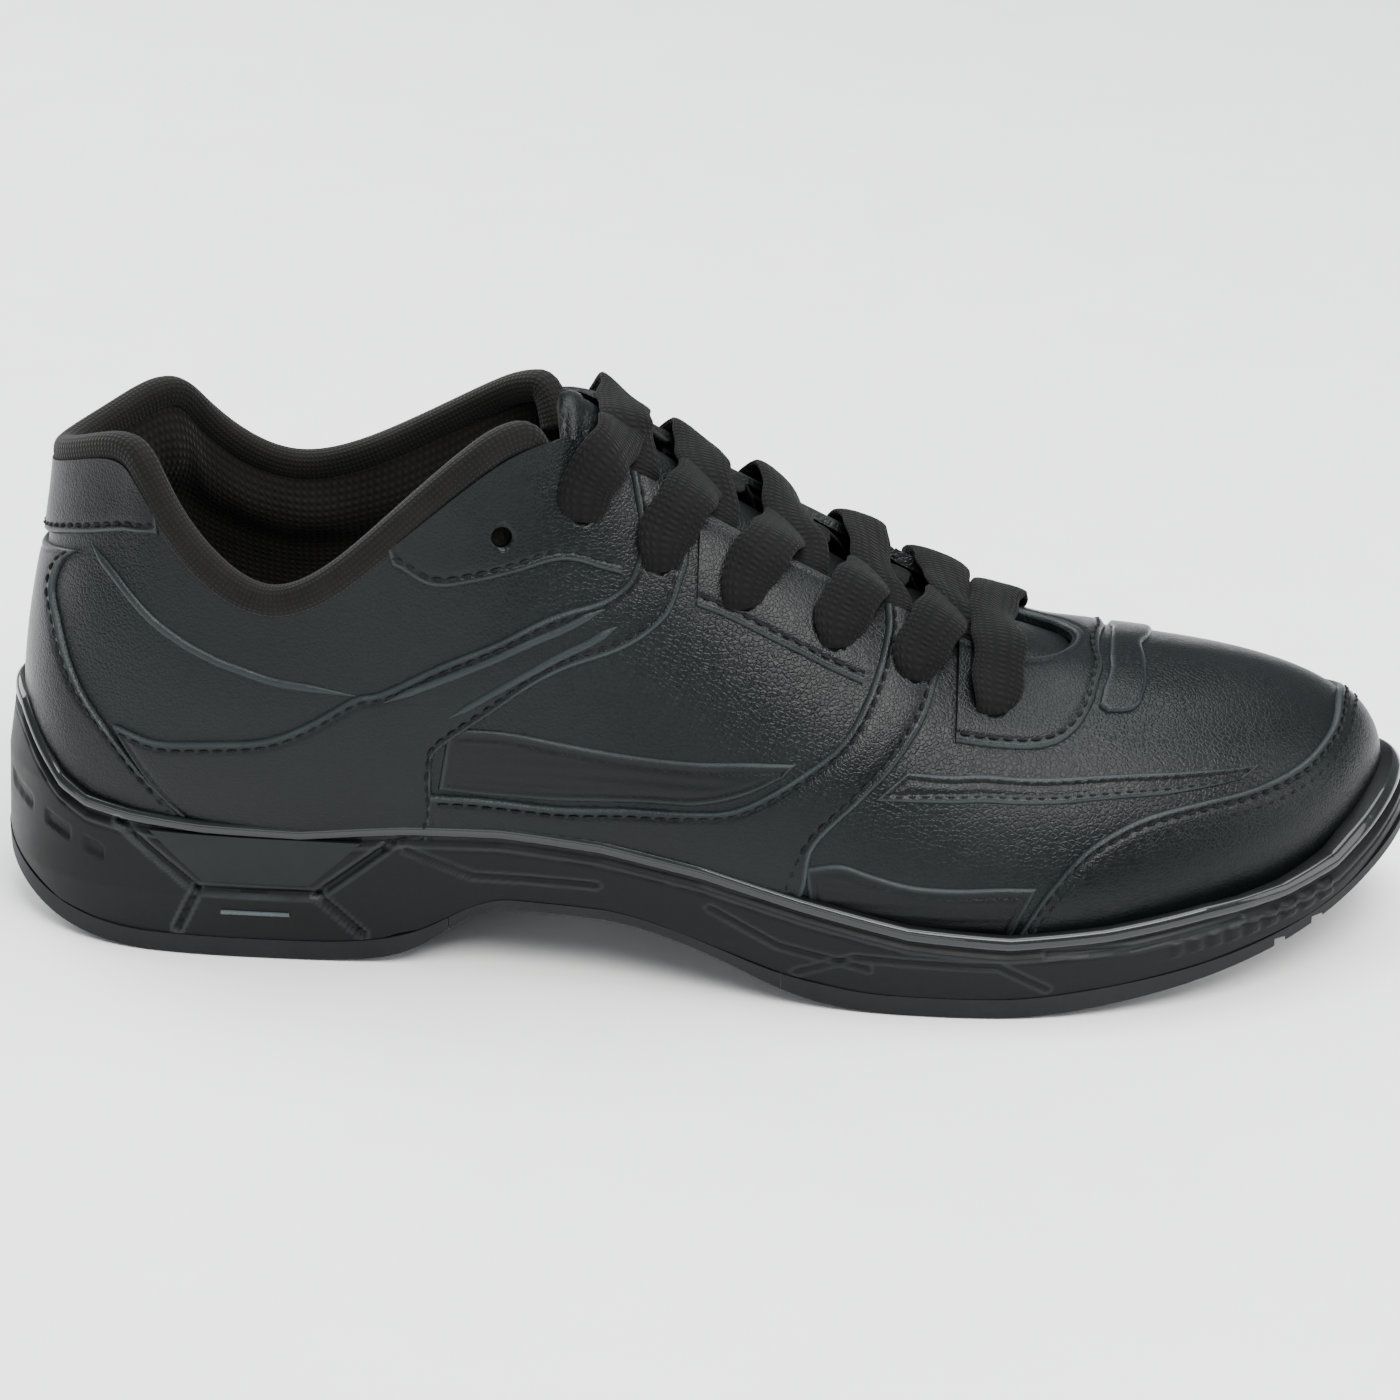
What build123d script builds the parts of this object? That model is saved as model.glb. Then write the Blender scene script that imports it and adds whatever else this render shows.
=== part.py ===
from build123d import *
import math
import os

import numpy as np

# Right shoe, millimetres, +Z up, toe along +X, outer side along -Y, standing on Z = 0.
# Lengths along the shoe are given from the back of the heel; HALF_LENGTH centres them.
SHOE_LENGTH = 300.0
HALF_LENGTH = SHOE_LENGTH / 2

# Layers of the upper, measured from the outer face of the base leather.
LEATHER = 1.4             # base leather of the quarters and the vamp
OVERLAY_GAP = 0.06        # between the base leather and what is sewn on it
OVERLAY = 1.1             # outer face of a sewn-on piece
THIN_OVERLAY = 0.7        # outer face of a thin inlay panel
LAYER_GAP = 0.1
COUNTER = 1.2             # heel counter and toe puff
TOE_PUFF = 0.6
LINING = 0.8
THIN_PADDING = 0.8        # foam under the lining, away from the collar
COLLAR_PADDING = 4.7      # what the collar adds to it
EDGE_TUCK = 2.8           # the lasted edge lies this far inside the widest line
UPPER_FOOT = 0.012        # share of the way up where the leather starts
COLLAR_TOP = 0.935        # share of the way up where the collar binding takes over
THROAT_TOP = 0.985        # share of the way up of the facings' cut edge

# Sole.
WALL = 1.4                # thickness of the cup's wall at its top
BOARD = 2.0               # insole board
TREAD = 4.5               # outsole under the heel and the ball
PAD = 1.8                 # slide pad and heel pad
INSOLE_FOAM = 4.0
INSOLE_COVER = 0.9

# Lacing.
HOLE = 4.4                # diameter of the punched lace holes
LACE = 2.4                # the flat lace as a round cord of the same section
LACE_LIFT = 3.0           # centre of the lace over a facing

# Sections of the upper, round the shoe from the heel over the outer side to the toe and back.
# (widest line x, y; rim x, y, z; bulge out; height of the bulge; reach of the top; drop of the top)
SECTIONS = [
    (4.6, 0.0, 13.5, 0.0, 102.5, 3.0, 34, 0.00, 22),
    (11.0, -18.5, 21.5, -14.0, 108.0, 4.5, 34, 0.00, 22),
    (24.0, -28.0, 31.0, -22.5, 110.5, 5.1, 33, 0.00, 24),
    (39.0, -32.0, 39.0, -28.5, 99.0, 5.6, 28, 0.00, 22),
    (60.0, -34.0, 60.0, -33.0, 83.0, 6.1, 22, 0.00, 18),
    (84.0, -35.0, 85.0, -33.0, 98.5, 6.6, 25, 0.05, 22),
    (106.0, -36.5, 104.0, -28.5, 114.5, 6.6, 27, 0.12, 24),
    (124.0, -39.5, 117.0, -20.5, 116.5, 6.1, 27, 0.28, 18),
    (143.0, -43.5, 136.0, -15.5, 104.5, 5.6, 28, 0.38, 12),
    (166.0, -48.5, 164.0, -16.0, 89.0, 5.6, 27, 0.44, 9),
    (190.0, -51.0, 190.0, -15.5, 75.8, 5.1, 25, 0.48, 8),
    (213.0, -51.0, 211.5, -13.0, 66.0, 4.6, 24, 0.52, 7.0),
    (238.0, -46.5, 220.5, -9.0, 63.6, 4.1, 24, 0.56, 5.2),
    (262.0, -36.0, 223.3, -5.3, 63.2, 3.6, 25, 0.61, 4.2),
    (282.5, -19.5, 224.3, -2.0, 63.0, 3.2, 26, 0.64, 4.2),
    (295.0, 5.0, 224.6, 0.7, 63.0, 2.6, 26, 0.65, 4.2),
    (288.0, 25.0, 224.3, 3.4, 62.8, 3.2, 25, 0.64, 4.8),
    (271.0, 41.0, 223.3, 6.5, 62.4, 3.6, 24, 0.58, 5.4),
    (249.0, 50.0, 220.5, 10.0, 62.2, 3.6, 23, 0.55, 6.5),
    (222.0, 51.0, 211.5, 13.5, 64.2, 4.1, 24, 0.52, 8.0),
    (196.0, 47.5, 190.0, 15.5, 74.2, 4.6, 26, 0.46, 9),
    (168.0, 40.0, 164.0, 16.0, 88.0, 6.1, 30, 0.37, 12),
    (143.0, 34.0, 136.0, 15.5, 103.5, 7.6, 32, 0.30, 16),
    (124.0, 31.5, 118.5, 20.5, 111.5, 8.1, 33, 0.18, 20),
    (106.0, 31.0, 105.0, 28.0, 107.0, 7.6, 30, 0.08, 24),
    (84.0, 32.0, 85.0, 31.5, 95.5, 6.6, 27, 0.00, 24),
    (60.0, 32.5, 60.0, 31.5, 88.0, 6.1, 25, 0.00, 20),
    (39.0, 31.5, 41.0, 28.0, 99.0, 5.6, 28, 0.00, 22),
    (24.0, 27.5, 32.5, 22.5, 107.5, 5.1, 33, 0.00, 24),
    (11.0, 18.5, 22.0, 14.0, 104.5, 4.5, 34, 0.00, 22),
]

# Height of the insole board's top along the shoe.
BOARD_LINE = [(0, 24), (30, 22.5), (100, 22), (125, 21.2), (145, 18.5), (160, 15.5),
              (185, 12), (215, 10.5), (245, 12), (265, 16), (280, 20.5), (292, 25), (300, 28)]

# Widest outline of the sole, from the heel over the outer side to the toe and back.
SOLE_OUTLINE = [(0, 0), (6, -17.5), (20, -29), (45, -35), (80, -36.5), (115, -39.5), (150, -46.5),
                (185, -53), (215, -54), (245, -48.5), (272, -36), (290, -19), (300, 4),
                (294, 25), (278, 41), (253, 51.5), (225, 55), (200, 52), (170, 43), (140, 35.5),
                (110, 33), (80, 33.5), (45, 34), (20, 28.5), (6, 17.5)]
# (height, inset) of the cup's outer face and of its cavity
CUP_OUTSIDE = [(0, 1.2), (14, 0), (34, 0.6), (54, 3.6)]
CUP_INSIDE = [(0, 1.2 + WALL), (14, WALL), (34, 0.6 + WALL), (54, 3.6 + WALL)]
RAND_LINE = [(-2, 50), (3, 48.5), (8, 43), (14, 37), (20, 34), (30, 32.6), (45, 31.5), (66, 31),
             (87, 33), (108, 33.7), (129, 32.6), (150, 29.6), (171, 24.8), (193, 20.5),
             (214, 18.9), (234, 20.2), (255, 22.8), (272, 24), (284, 26.5), (292, 30.5), (302, 36.5)]
UNDERSIDE = [(-2, 14), (3, 8.7), (13, 3.0), (22, 0.9), (28, 0.2), (33, 0), (66, 0), (71, 0.1), (77, 0.5),
             (83, 1.4), (91, 4.8), (101, 12.2), (112, 15.0), (129, 15.0), (142, 12.9), (155, 8.6),
             (167, 3.6), (176, 1.2), (184, 0.2), (189, 0), (212, 0), (217, 0.2), (225, 1.0), (235, 2.5),
             (256, 6.7), (277, 13.0), (285, 16.3), (292, 19.8), (302, 25)]
TREAD_DEPTH = [(0, TREAD), (86, TREAD), (101, 2.2), (152, 2.2), (175, TREAD), (230, TREAD), (285, 2.2), (302, 2.2)]
HEEL_BREAST = 97.0        # where the heel's outsole ends and the shank plate starts
BALL_START = 167.0        # where the shank plate ends and the forefoot's outsole starts


def along(line, x):
    "height of a line drawn on the shoe's side, at a place along it"
    return float(np.interp(x, [p[0] for p in line], [p[1] for p in line]))


def cyclic_spline(values):
    "smooth closed curve through the values, as a function of the share of the way round"
    values = np.array(values, float)
    count = len(values)
    matrix = 4 * np.eye(count) + np.roll(np.eye(count), 1, 0) + np.roll(np.eye(count), -1, 0)
    slopes = np.linalg.solve(matrix, 3 * (np.roll(values, -1, 0) - np.roll(values, 1, 0)))

    def at(share):
        place = (share % 1.0) * count
        i = int(place) % count
        j = (i + 1) % count
        f = place - int(place)
        return ((1 + 2 * f) * (1 - f) ** 2 * values[i] + f * (1 - f) ** 2 * slopes[i]
                + f * f * (3 - 2 * f) * values[j] + f * f * (f - 1) * slopes[j])

    return at


def outward_in_plan(ring):
    "unit normals of a closed outline in plan, pointing out of the shoe"
    tangent = np.roll(ring, -1, 0) - np.roll(ring, 1, 0)
    normal = np.stack([tangent[:, 1], -tangent[:, 0]], 1)
    return normal / np.linalg.norm(normal, axis=1)[:, None]


def section_controls():
    "four control points of every section, each set joined round the shoe by a smooth curve"
    table = np.array(SECTIONS, float)
    normal = outward_in_plan(table[:, :2])
    sets = [[], [], [], []]
    for row, n in zip(table, normal):
        x, y, rim_x, rim_y, rim_z, out, rise, reach, drop = row
        board = along(BOARD_LINE, x)
        side_lean = 0.3 * out if reach < 0.2 else 0.0
        foot = (x - n[0] * EDGE_TUCK, y - n[1] * EDGE_TUCK, board)
        low = (x + n[0] * out, y + n[1] * out, board + rise)
        high = (rim_x + (x - rim_x) * reach + n[0] * side_lean,
                rim_y + (y - rim_y) * reach + n[1] * side_lean, rim_z - drop)
        rim = (rim_x, rim_y, rim_z)
        for group, corner in zip(sets, (foot, low, high, rim)):
            group.append((corner[0] - HALF_LENGTH, corner[1], corner[2]))
    return [cyclic_spline(group) for group in sets]


CONTROLS = section_controls()


def surface(s, t):
    "outer face of the base leather: s is the share of the way round, t of the way up"
    foot, low, high, rim = [control(s) for control in CONTROLS]
    return (1 - t) ** 3 * foot + 3 * t * (1 - t) ** 2 * low + 3 * t * t * (1 - t) * high + t ** 3 * rim


def outward(s, t, step=0.001):
    "unit normal of the upper's surface"
    up, down = min(t + step, 1.0), max(t - step, 0.0)
    normal = np.cross(surface(s + step, t) - surface(s - step, t), surface(s, up) - surface(s, down))
    return normal / np.linalg.norm(normal)


def offset_point(s, t, height):
    "point at a height over the base leather's outer face"
    return Vector(*(surface(s, t) + height * outward(s, t)))


COARSE = [(i / 240, j / 24) for i in range(121) for j in range(25)]
COARSE_POINTS = np.array([surface(s, t) for s, t in COARSE])


def on_side(x, z):
    "place (s, t) on the outer side where the surface has this distance from the heel and height"
    wanted = np.array([x - HALF_LENGTH, z])
    start = np.argmin(np.hypot(COARSE_POINTS[:, 0] - wanted[0], COARSE_POINTS[:, 2] - wanted[1]))
    s, t = COARSE[start]
    step = 1e-4
    for _ in range(12):
        here = surface(s, t)[[0, 2]]
        along_s = (surface(s + step, t)[[0, 2]] - here) / step
        along_t = (surface(s, t + step)[[0, 2]] - here) / step
        move = np.linalg.solve(np.stack([along_s, along_t], 1), wanted - here)
        s = s + float(np.clip(move[0], -0.02, 0.02))
        t = min(max(t + float(np.clip(move[1], -0.02, 0.02)), 0.0), 1.0)
    return s, t


def smooth_path(points, samples=6):
    "Catmull-Rom curve through points, with the same number of samples between each two"
    points = [np.array(p, float) for p in points]
    padded = [2 * points[0] - points[1]] + points + [2 * points[-1] - points[-2]]
    path = []
    for i in range(1, len(padded) - 2):
        a, b, c, d = padded[i - 1:i + 3]
        for k in range(samples):
            f = k / samples
            path.append(0.5 * (2 * b + (c - a) * f + (2 * a - 5 * b + 4 * c - d) * f ** 2
                               + (3 * b - a - 3 * c + d) * f ** 3))
    path.append(points[-1])
    return path


def slab(outer, inner):
    "closed solid between two grids of points of the same size"
    top = Face.make_surface_from_array_of_points(outer, tol=0.05, min_deg=3, max_deg=3)
    bottom = Face.make_surface_from_array_of_points(inner, tol=0.05, min_deg=3, max_deg=3)
    sides = []
    for edge in top.edges():
        twin = min(bottom.edges(), key=lambda other: (other.center() - edge.center()).length)
        sides.append(Face.make_surface_from_curves(edge, twin))
    return Solid(Shell([top, bottom] + sides))


def layer(places, outer, inner):
    "solid over a grid of places (s, t), between two heights that may vary over the surface"
    def height(value, s, t):
        return value(s, t) if callable(value) else value

    top = [[offset_point(s, t, height(outer, s, t)) for s, t in row] for row in places]
    bottom = [[offset_point(s, t, height(inner, s, t)) for s, t in row] for row in places]
    return slab(top, bottom)


def band(s_start, s_end, t_low, t_high, columns=40, rows=12):
    "grid of places between two levels, each a number or a function of s"
    def level(value, s):
        return value(s) if callable(value) else value

    grid = []
    for i in range(columns):
        s = s_start + (s_end - s_start) * i / (columns - 1)
        low, high = level(t_low, s), level(t_high, s)
        grid.append([(s, low + (high - low) * j / (rows - 1)) for j in range(rows)])
    return grid


def ribs(pairs, rows=7, medial=False, samples=5):
    "grid of places between two seams, given as pairs of points that face each other"
    first = smooth_path([pair[0] for pair in pairs], samples)
    second = smooth_path([pair[1] for pair in pairs], samples)
    grid = [[tuple(a + (b - a) * j / (rows - 1)) for j in range(rows)] for a, b in zip(first, second)]
    if medial:
        grid = [[(1 - s, t) for s, t in row] for row in grid]
    return grid


def side_ribs(pairs, **options):
    "ribs from points in millimetres on the side; a point with both numbers under 1 is a place"
    def place(point):
        return point if max(point) < 1 else on_side(*point)

    return ribs([(place(a), place(b)) for a, b in pairs], **options)


def fade(value, start, end):
    "1 below start, 0 above end, smooth between"
    f = min(max((value - start) / (end - start), 0.0), 1.0)
    return 1 - f * f * (3 - 2 * f)


def from_heel(s):
    "share of the way round, measured from the heel on either side"
    return min(s % 1.0, 1 - s % 1.0)


# ---- lace holes -------------------------------------------------------------------------------

# (distance from the heel, height) on the outer side; the first is left empty by the lace
LACE_HOLES = [(107.5, 96.2), (123.6, 99.1), (140.4, 88.7), (157.1, 81.3), (176.3, 73.3), (192.6, 66.1), (209.5, 58.8)]
HOLE_PLACES = [on_side(x, z) for x, z in LACE_HOLES]


def hole_planes(numbers, medial):
    "planes across the chosen lace holes, normal to the leather"
    planes = []
    for number in numbers:
        s, t = HOLE_PLACES[number]
        s = 1 - s if medial else s
        planes.append(Plane(origin=offset_point(s, t, 0), z_dir=Vector(*outward(s, t))))
    return planes


def finish(piece, name):
    "label a finished piece and write it"
    piece.part.label = name
    export_step(piece.part, "parts/" + name + ".step")


def upper_piece(name, places, outer, inner, holes=(), medial=False):
    "one layer of the upper with its lace holes punched"
    with BuildPart() as piece:
        add(layer(places, outer, inner))
        if holes:
            with Locations(*hole_planes(holes, medial)):
                Cylinder(HOLE / 2, 16, mode=Mode.SUBTRACT)
    finish(piece, name)


os.makedirs("parts", exist_ok=True)
SIDES = [("lateral", False), ("medial", True)]
QUARTER_END = 0.331       # share of the way round where the quarter meets the vamp
HEEL_SEAM = 0.0015        # half the gap between the two quarters at the heel


def mirrored(s, medial):
    return 1 - s if medial else s


def leather_top(s):
    "the collar's leather stops under the binding, the facings' leather is cut at the throat"
    return THROAT_TOP - (THROAT_TOP - COLLAR_TOP) * fade(from_heel(s), 0.228, 0.245)


def lining_top(s):
    return 0.95 - (0.95 - COLLAR_TOP) * fade(from_heel(s), 0.228, 0.245)


# ---- base leather -----------------------------------------------------------------------------

for side, medial in SIDES:
    places = band(mirrored(HEEL_SEAM, medial), mirrored(QUARTER_END, medial), UPPER_FOOT, leather_top)
    upper_piece("quarter_" + side, places, 0.0, -LEATHER, range(6), medial)

with BuildPart() as vamp:
    add(layer(band(QUARTER_END + 0.0015, 1 - QUARTER_END - 0.0015, UPPER_FOOT, THROAT_TOP, 56, 14), 0.0, -LEATHER))
    for medial in (False, True):
        with Locations(*hole_planes([6], medial)):
            Cylinder(HOLE / 2, 16, mode=Mode.SUBTRACT)
finish(vamp, "vamp")

# ---- pieces sewn on the base leather ----------------------------------------------------------

# Edge of the heel overlay on the outer side, from the sole up to the heel tab.
HEEL_OVERLAY_EDGE = [(46.0, 25.5), (43.6, 30.4), (38.7, 35.3), (33.4, 40.6), (28.2, 46.7), (23.9, 51.7), (20.0, 56.8),
                     (16.8, 63.2), (14.7, 69.5), (13.3, 74.5), (15.1, 80.5), (19.5, 85.3)]
edge_places = [on_side(x, z) for x, z in HEEL_OVERLAY_EDGE]
heel_ribs = [((s, t), (-s, t)) for s, t in edge_places]
upper_piece("heel_overlay", ribs(heel_ribs, rows=21), OVERLAY, OVERLAY_GAP)

# The heel tab runs from one dip of the collar to the other over the back of the heel.
TAB_SEAM = [(0.0, 0.70), (0.045, 0.725), (0.062, 0.75), (0.080, 0.80), (0.096, 0.89)]


def tab_bottom(s):
    "level of the heel tab's lower seam"
    return float(np.interp(abs(s), [p[0] for p in TAB_SEAM], [p[1] for p in TAB_SEAM]))


upper_piece("heel_tab", band(-0.096, 0.096, tab_bottom, 0.932, 41, 6), OVERLAY, OVERLAY_GAP)

# Seams on the outer side as facing pairs (distance from the heel, height); the inner side is the
# same pattern mirrored on its own surface. Pairs under 1 are places (s, t) at the throat's edge.
REAR_STRIPE = [((26.5, 51.0), (48.0, 25.5)), ((36.9, 49.0), (60.0, 25.0)), ((54.0, 50.8), (78.0, 25.5)),
               ((74.8, 60.4), (92.5, 30.0)), ((83.2, 63.5), (93.6, 44.0)), ((95.0, 69.5), (95.5, 51.0)),
               ((110.0, 75.9), (110.0, 62.0)), ((125.0, 81.5), (130.0, 71.5)), ((132.5, 85.0), (141.0, 78.0)),
               ((135.2, 90.0), (145.0, 86.0)), ((135.9, 93.4), (146.0, 90.0)), ((0.2625, 0.98), (0.2790, 0.98))]
FRONT_STRIPE = [((0.3285, 0.98), (0.3475, 0.98)), ((186.6, 73.3), (198.2, 65.7)), ((184.0, 65.5), (195.4, 58.8)),
                ((178.5, 56.5), (189.4, 51.1)), ((170.0, 50.0), (182.5, 44.7)), ((158.0, 43.0), (173.4, 35.5)),
                ((148.0, 41.0), (168.0, 22.0)), ((135.0, 40.4), (140.0, 23.5)), ((118.0, 39.3), (118.0, 25.5)),
                ((98.5, 39.8), (98.5, 26.0))]
MIDDLE_FACING = [((147.8, 80.8), (0.2810, 0.98)), ((154.0, 78.5), (0.2890, 0.98)), ((161.0, 75.3), (0.2970, 0.98)),
                 ((169.3, 71.5), (0.3060, 0.98)), ((176.0, 68.3), (0.3150, 0.98)), ((182.2, 65.6), (0.3265, 0.98))]
ANKLE_PANEL = [((85.5, 90.5), (0.1660, 0.932)), ((93.3, 86.3), (0.1850, 0.932)), ((102.0, 86.8), (0.2000, 0.932)),
               ((111.6, 88.6), (0.2200, 0.932)), ((121.7, 90.1), (0.2360, 0.952)), ((127.9, 88.2), (0.2480, 0.975)),
               ((132.2, 87.0), (0.2605, 0.98))]
VENT_PANEL = [((99.5, 56.0), (95.6, 41.0)), ((105.1, 55.6), (105.0, 40.4)), ((118.1, 53.8), (118.2, 40.2)),
              ((128.7, 52.3), (128.7, 40.9)), ((139.0, 51.5), (139.2, 41.6)), ((149.3, 51.4), (149.0, 42.2)),
              ((159.6, 52.0), (158.5, 45.0)), ((169.5, 52.0), (166.5, 49.2))]
FRONT_PANEL = [((171.2, 31.3), (172.5, 22.5)), ((178.6, 32.4), (179.0, 19.0)), ((185.0, 30.6), (185.0, 16.5)),
               ((193.0, 28.6), (193.0, 14.5)), ((202.0, 28.0), (202.0, 13.5)), ((211.7, 28.2), (208.0, 13.5)),
               ((219.5, 28.0), (212.8, 14.0))]
VAMP_STRIP = [((191.8, 50.2), (185.0, 45.0)), ((200.8, 49.3), (200.8, 44.2)), ((211.2, 48.6), (211.2, 43.8)),
              ((231.9, 47.7), (231.9, 43.4)), ((250.0, 46.8), (248.0, 43.3)), ((266.0, 45.7), (262.0, 43.9))]

for side, medial in SIDES:
    upper_piece("rear_stripe_" + side, side_ribs(REAR_STRIPE, medial=medial), OVERLAY, OVERLAY_GAP, [2], medial)
    upper_piece("front_stripe_" + side, side_ribs(FRONT_STRIPE, medial=medial), OVERLAY, OVERLAY_GAP, [5], medial)
    upper_piece("middle_facing_" + side, side_ribs(MIDDLE_FACING, medial=medial), OVERLAY, OVERLAY_GAP, [3, 4], medial)
    upper_piece("ankle_panel_" + side, side_ribs(ANKLE_PANEL, medial=medial), OVERLAY, OVERLAY_GAP, [0, 1], medial)
    upper_piece("vent_panel_" + side, side_ribs(VENT_PANEL, medial=medial), THIN_OVERLAY, OVERLAY_GAP)
    upper_piece("forefoot_panel_" + side, side_ribs(FRONT_PANEL, medial=medial), THIN_OVERLAY, OVERLAY_GAP)
    upper_piece("vamp_strip_" + side, side_ribs(VAMP_STRIP, rows=4, medial=medial), THIN_OVERLAY, OVERLAY_GAP)

# Upper edge of the toe cap as places (s, t) on the outer half; it is the same on the inner half.
TOE_CAP_EDGE = [(0.3695, 0.07), (0.3745, 0.17), (0.381, 0.26), (0.390, 0.345), (0.402, 0.395), (0.414, 0.412),
                (0.430, 0.402), (0.448, 0.375), (0.466, 0.36), (0.482, 0.375), (0.5, 0.41)]
toe_edge = TOE_CAP_EDGE + [(1 - s, t) for s, t in reversed(TOE_CAP_EDGE[:-1])]
upper_piece("toe_cap", ribs([((s, t), (s, 0.02)) for s, t in toe_edge], rows=9), OVERLAY, OVERLAY_GAP)

# The front facing is one piece round the throat, with a smaller tab ahead of it.
THROAT_EDGE = [(0.3500, 0.625), (0.364, 0.64), (0.378, 0.65), (0.387, 0.665), (0.397, 0.705), (0.410, 0.775),
               (0.424, 0.84), (0.445, 0.89), (0.467, 0.925), (0.5, 0.94)]
throat_edge = THROAT_EDGE + [(1 - s, t) for s, t in reversed(THROAT_EDGE[:-1])]
with BuildPart() as front_facing:
    add(layer(ribs([((s, t), (s, 0.98)) for s, t in throat_edge], rows=7), OVERLAY, OVERLAY_GAP))
    for medial in (False, True):
        with Locations(*hole_planes([6], medial)):
            Cylinder(HOLE / 2, 16, mode=Mode.SUBTRACT)
finish(front_facing, "front_facing")

TAB_EDGES = [((0.414, 0.735), (0.4115, 0.762)), ((0.428, 0.722), (0.424, 0.822)), ((0.445, 0.772), (0.445, 0.874)),
             ((0.467, 0.83), (0.467, 0.909)), ((0.5, 0.87), (0.5, 0.925))]
tab_edges = TAB_EDGES + [((1 - a[0], a[1]), (1 - b[0], b[1])) for a, b in reversed(TAB_EDGES[:-1])]
upper_piece("throat_tab", ribs(tab_edges, rows=5), OVERLAY, OVERLAY_GAP)

# ---- inside the upper -------------------------------------------------------------------------

COUNTER_SPAN = 0.135      # share of the way round that the heel counter reaches on either side
COUNTER_HEIGHT = 0.60


def padding_outside(s, t):
    "depth of the padding's outer face: it steps in behind the heel counter"
    behind = fade(from_heel(s), COUNTER_SPAN + 0.005, COUNTER_SPAN + 0.03) * fade(t, COUNTER_HEIGHT + 0.02, 0.70)
    return -(LEATHER + LAYER_GAP + (COUNTER + LAYER_GAP) * behind)


def padding_inside(s, t):
    "depth of the padding's inner face: thick in a roll under the collar's rim"
    roll = math.exp(-((t - 0.78) / 0.12) ** 2) * fade(from_heel(s), 0.175, 0.215)
    return padding_outside(s, t) - THIN_PADDING - COLLAR_PADDING * roll


def lining_outside(s, t):
    return padding_inside(s, t) - LAYER_GAP


def lining_inside(s, t):
    return lining_outside(s, t) - LINING


for side, medial in SIDES:
    places = band(mirrored(0.002, medial), mirrored(QUARTER_END, medial), 0.02, lining_top, 40, 16)
    upper_piece("collar_padding_" + side, places, padding_outside, padding_inside, range(6), medial)
    upper_piece("quarter_lining_" + side, places, lining_outside, lining_inside, range(6), medial)

counter_outside = -(LEATHER + LAYER_GAP)
upper_piece("heel_counter", band(-COUNTER_SPAN, COUNTER_SPAN, 0.025, COUNTER_HEIGHT, 31, 8),
            counter_outside, counter_outside - COUNTER + LAYER_GAP)
upper_piece("toe_puff", band(0.415, 0.585, 0.025, 0.50, 31, 8), counter_outside, counter_outside - TOE_PUFF)
vamp_lining_outside = counter_outside - TOE_PUFF - LAYER_GAP
with BuildPart() as vamp_lining:
    add(layer(band(QUARTER_END + 0.003, 1 - QUARTER_END - 0.003, 0.02, 0.92, 48, 12),
              vamp_lining_outside, vamp_lining_outside - LINING))
    for medial in (False, True):
        with Locations(*hole_planes([6], medial)):
            Cylinder(HOLE / 2, 16, mode=Mode.SUBTRACT)
finish(vamp_lining, "vamp_lining")

upper_piece("collar_binding", band(-0.2345, 0.2345, COLLAR_TOP + 0.006, 0.998, 61, 4), 0.9, -4.4)

# ---- sole -------------------------------------------------------------------------------------


def sole_ring(inset):
    "the sole's outline, moved in"
    ring = np.array(SOLE_OUTLINE, float)
    moved = ring - outward_in_plan(ring) * inset
    return [(x - HALF_LENGTH, y) for x, y in moved]


def ring_block(levels):
    "block through insets of the sole's outline at several heights"
    with BuildPart() as block:
        for height, inset in levels:
            with BuildSketch(Plane.XY.offset(height)):
                with BuildLine():
                    Spline(*sole_ring(inset), periodic=True)
                make_face()
        loft()
    return block.part


def draw_line(points):
    "spline through points on the side, straight where two neighbours have the same height"
    run = [points[0]]
    for point in points[1:]:
        if abs(point[1] - run[-1][1]) < 1e-6:
            if len(run) > 1:
                Spline(*run)
            Line(run[-1], point)
            run = [point]
        else:
            run.append(point)
    if len(run) > 1:
        Spline(*run)


def side_face(lower, upper):
    "face between two lines drawn on the shoe's side"
    lower = [(x - HALF_LENGTH, z) for x, z in lower]
    upper = [(x - HALF_LENGTH, z) for x, z in upper]
    with BuildSketch(Plane.XZ) as face:
        with BuildLine():
            draw_line(lower)
            draw_line(upper)
            Line(lower[0], upper[0])
            Line(lower[-1], upper[-1])
        make_face()
    return face.sketch


def side_plate(lower, upper):
    "wide plate between two lines drawn on the side, to cut or to keep"
    with BuildPart() as plate:
        extrude(side_face(lower, upper), amount=90, dir=(0, 1, 0), both=True)
    return plate.part


def raised(line, by):
    "a line on the side lifted by a depth that varies along the shoe"
    return [(x, z + along(by, x)) for x, z in line]


BOARD_SEAT = [(x, z - BOARD - 0.2) for x, z in BOARD_LINE]
CEILING = [(-2, 90), (302, 91)]
tread_top = raised(UNDERSIDE, TREAD_DEPTH)
cup_block = ring_block(CUP_OUTSIDE)
cup_cavity = ring_block(CUP_INSIDE) & side_plate(
    [(-2, 24 - BOARD - 0.2)] + BOARD_SEAT[1:-1] + [(302, 28.5 - BOARD - 0.2)], CEILING)

# Pockets for the moulded heel inserts, on both walls of the cup.
INSERT_OUTLINE = [(33.0, 29.0), (45.0, 17.5), (68.0, 17.5), (80.0, 28.5)]
INSERT_DEPTH = 1.2


def wall_skin(outline, y_sign):
    "outer skin of the cup's wall inside an outline on the side"
    with BuildPart() as skin:
        with BuildSketch(Plane.XZ):
            with BuildLine():
                Polyline(*[(x - HALF_LENGTH, z) for x, z in outline], close=True)
            make_face()
        extrude(amount=-80 * y_sign)
        add(cup_block, mode=Mode.INTERSECT)
        add(ring_block([(height, inset + INSERT_DEPTH) for height, inset in CUP_OUTSIDE]), mode=Mode.SUBTRACT)
    return skin.part


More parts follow.
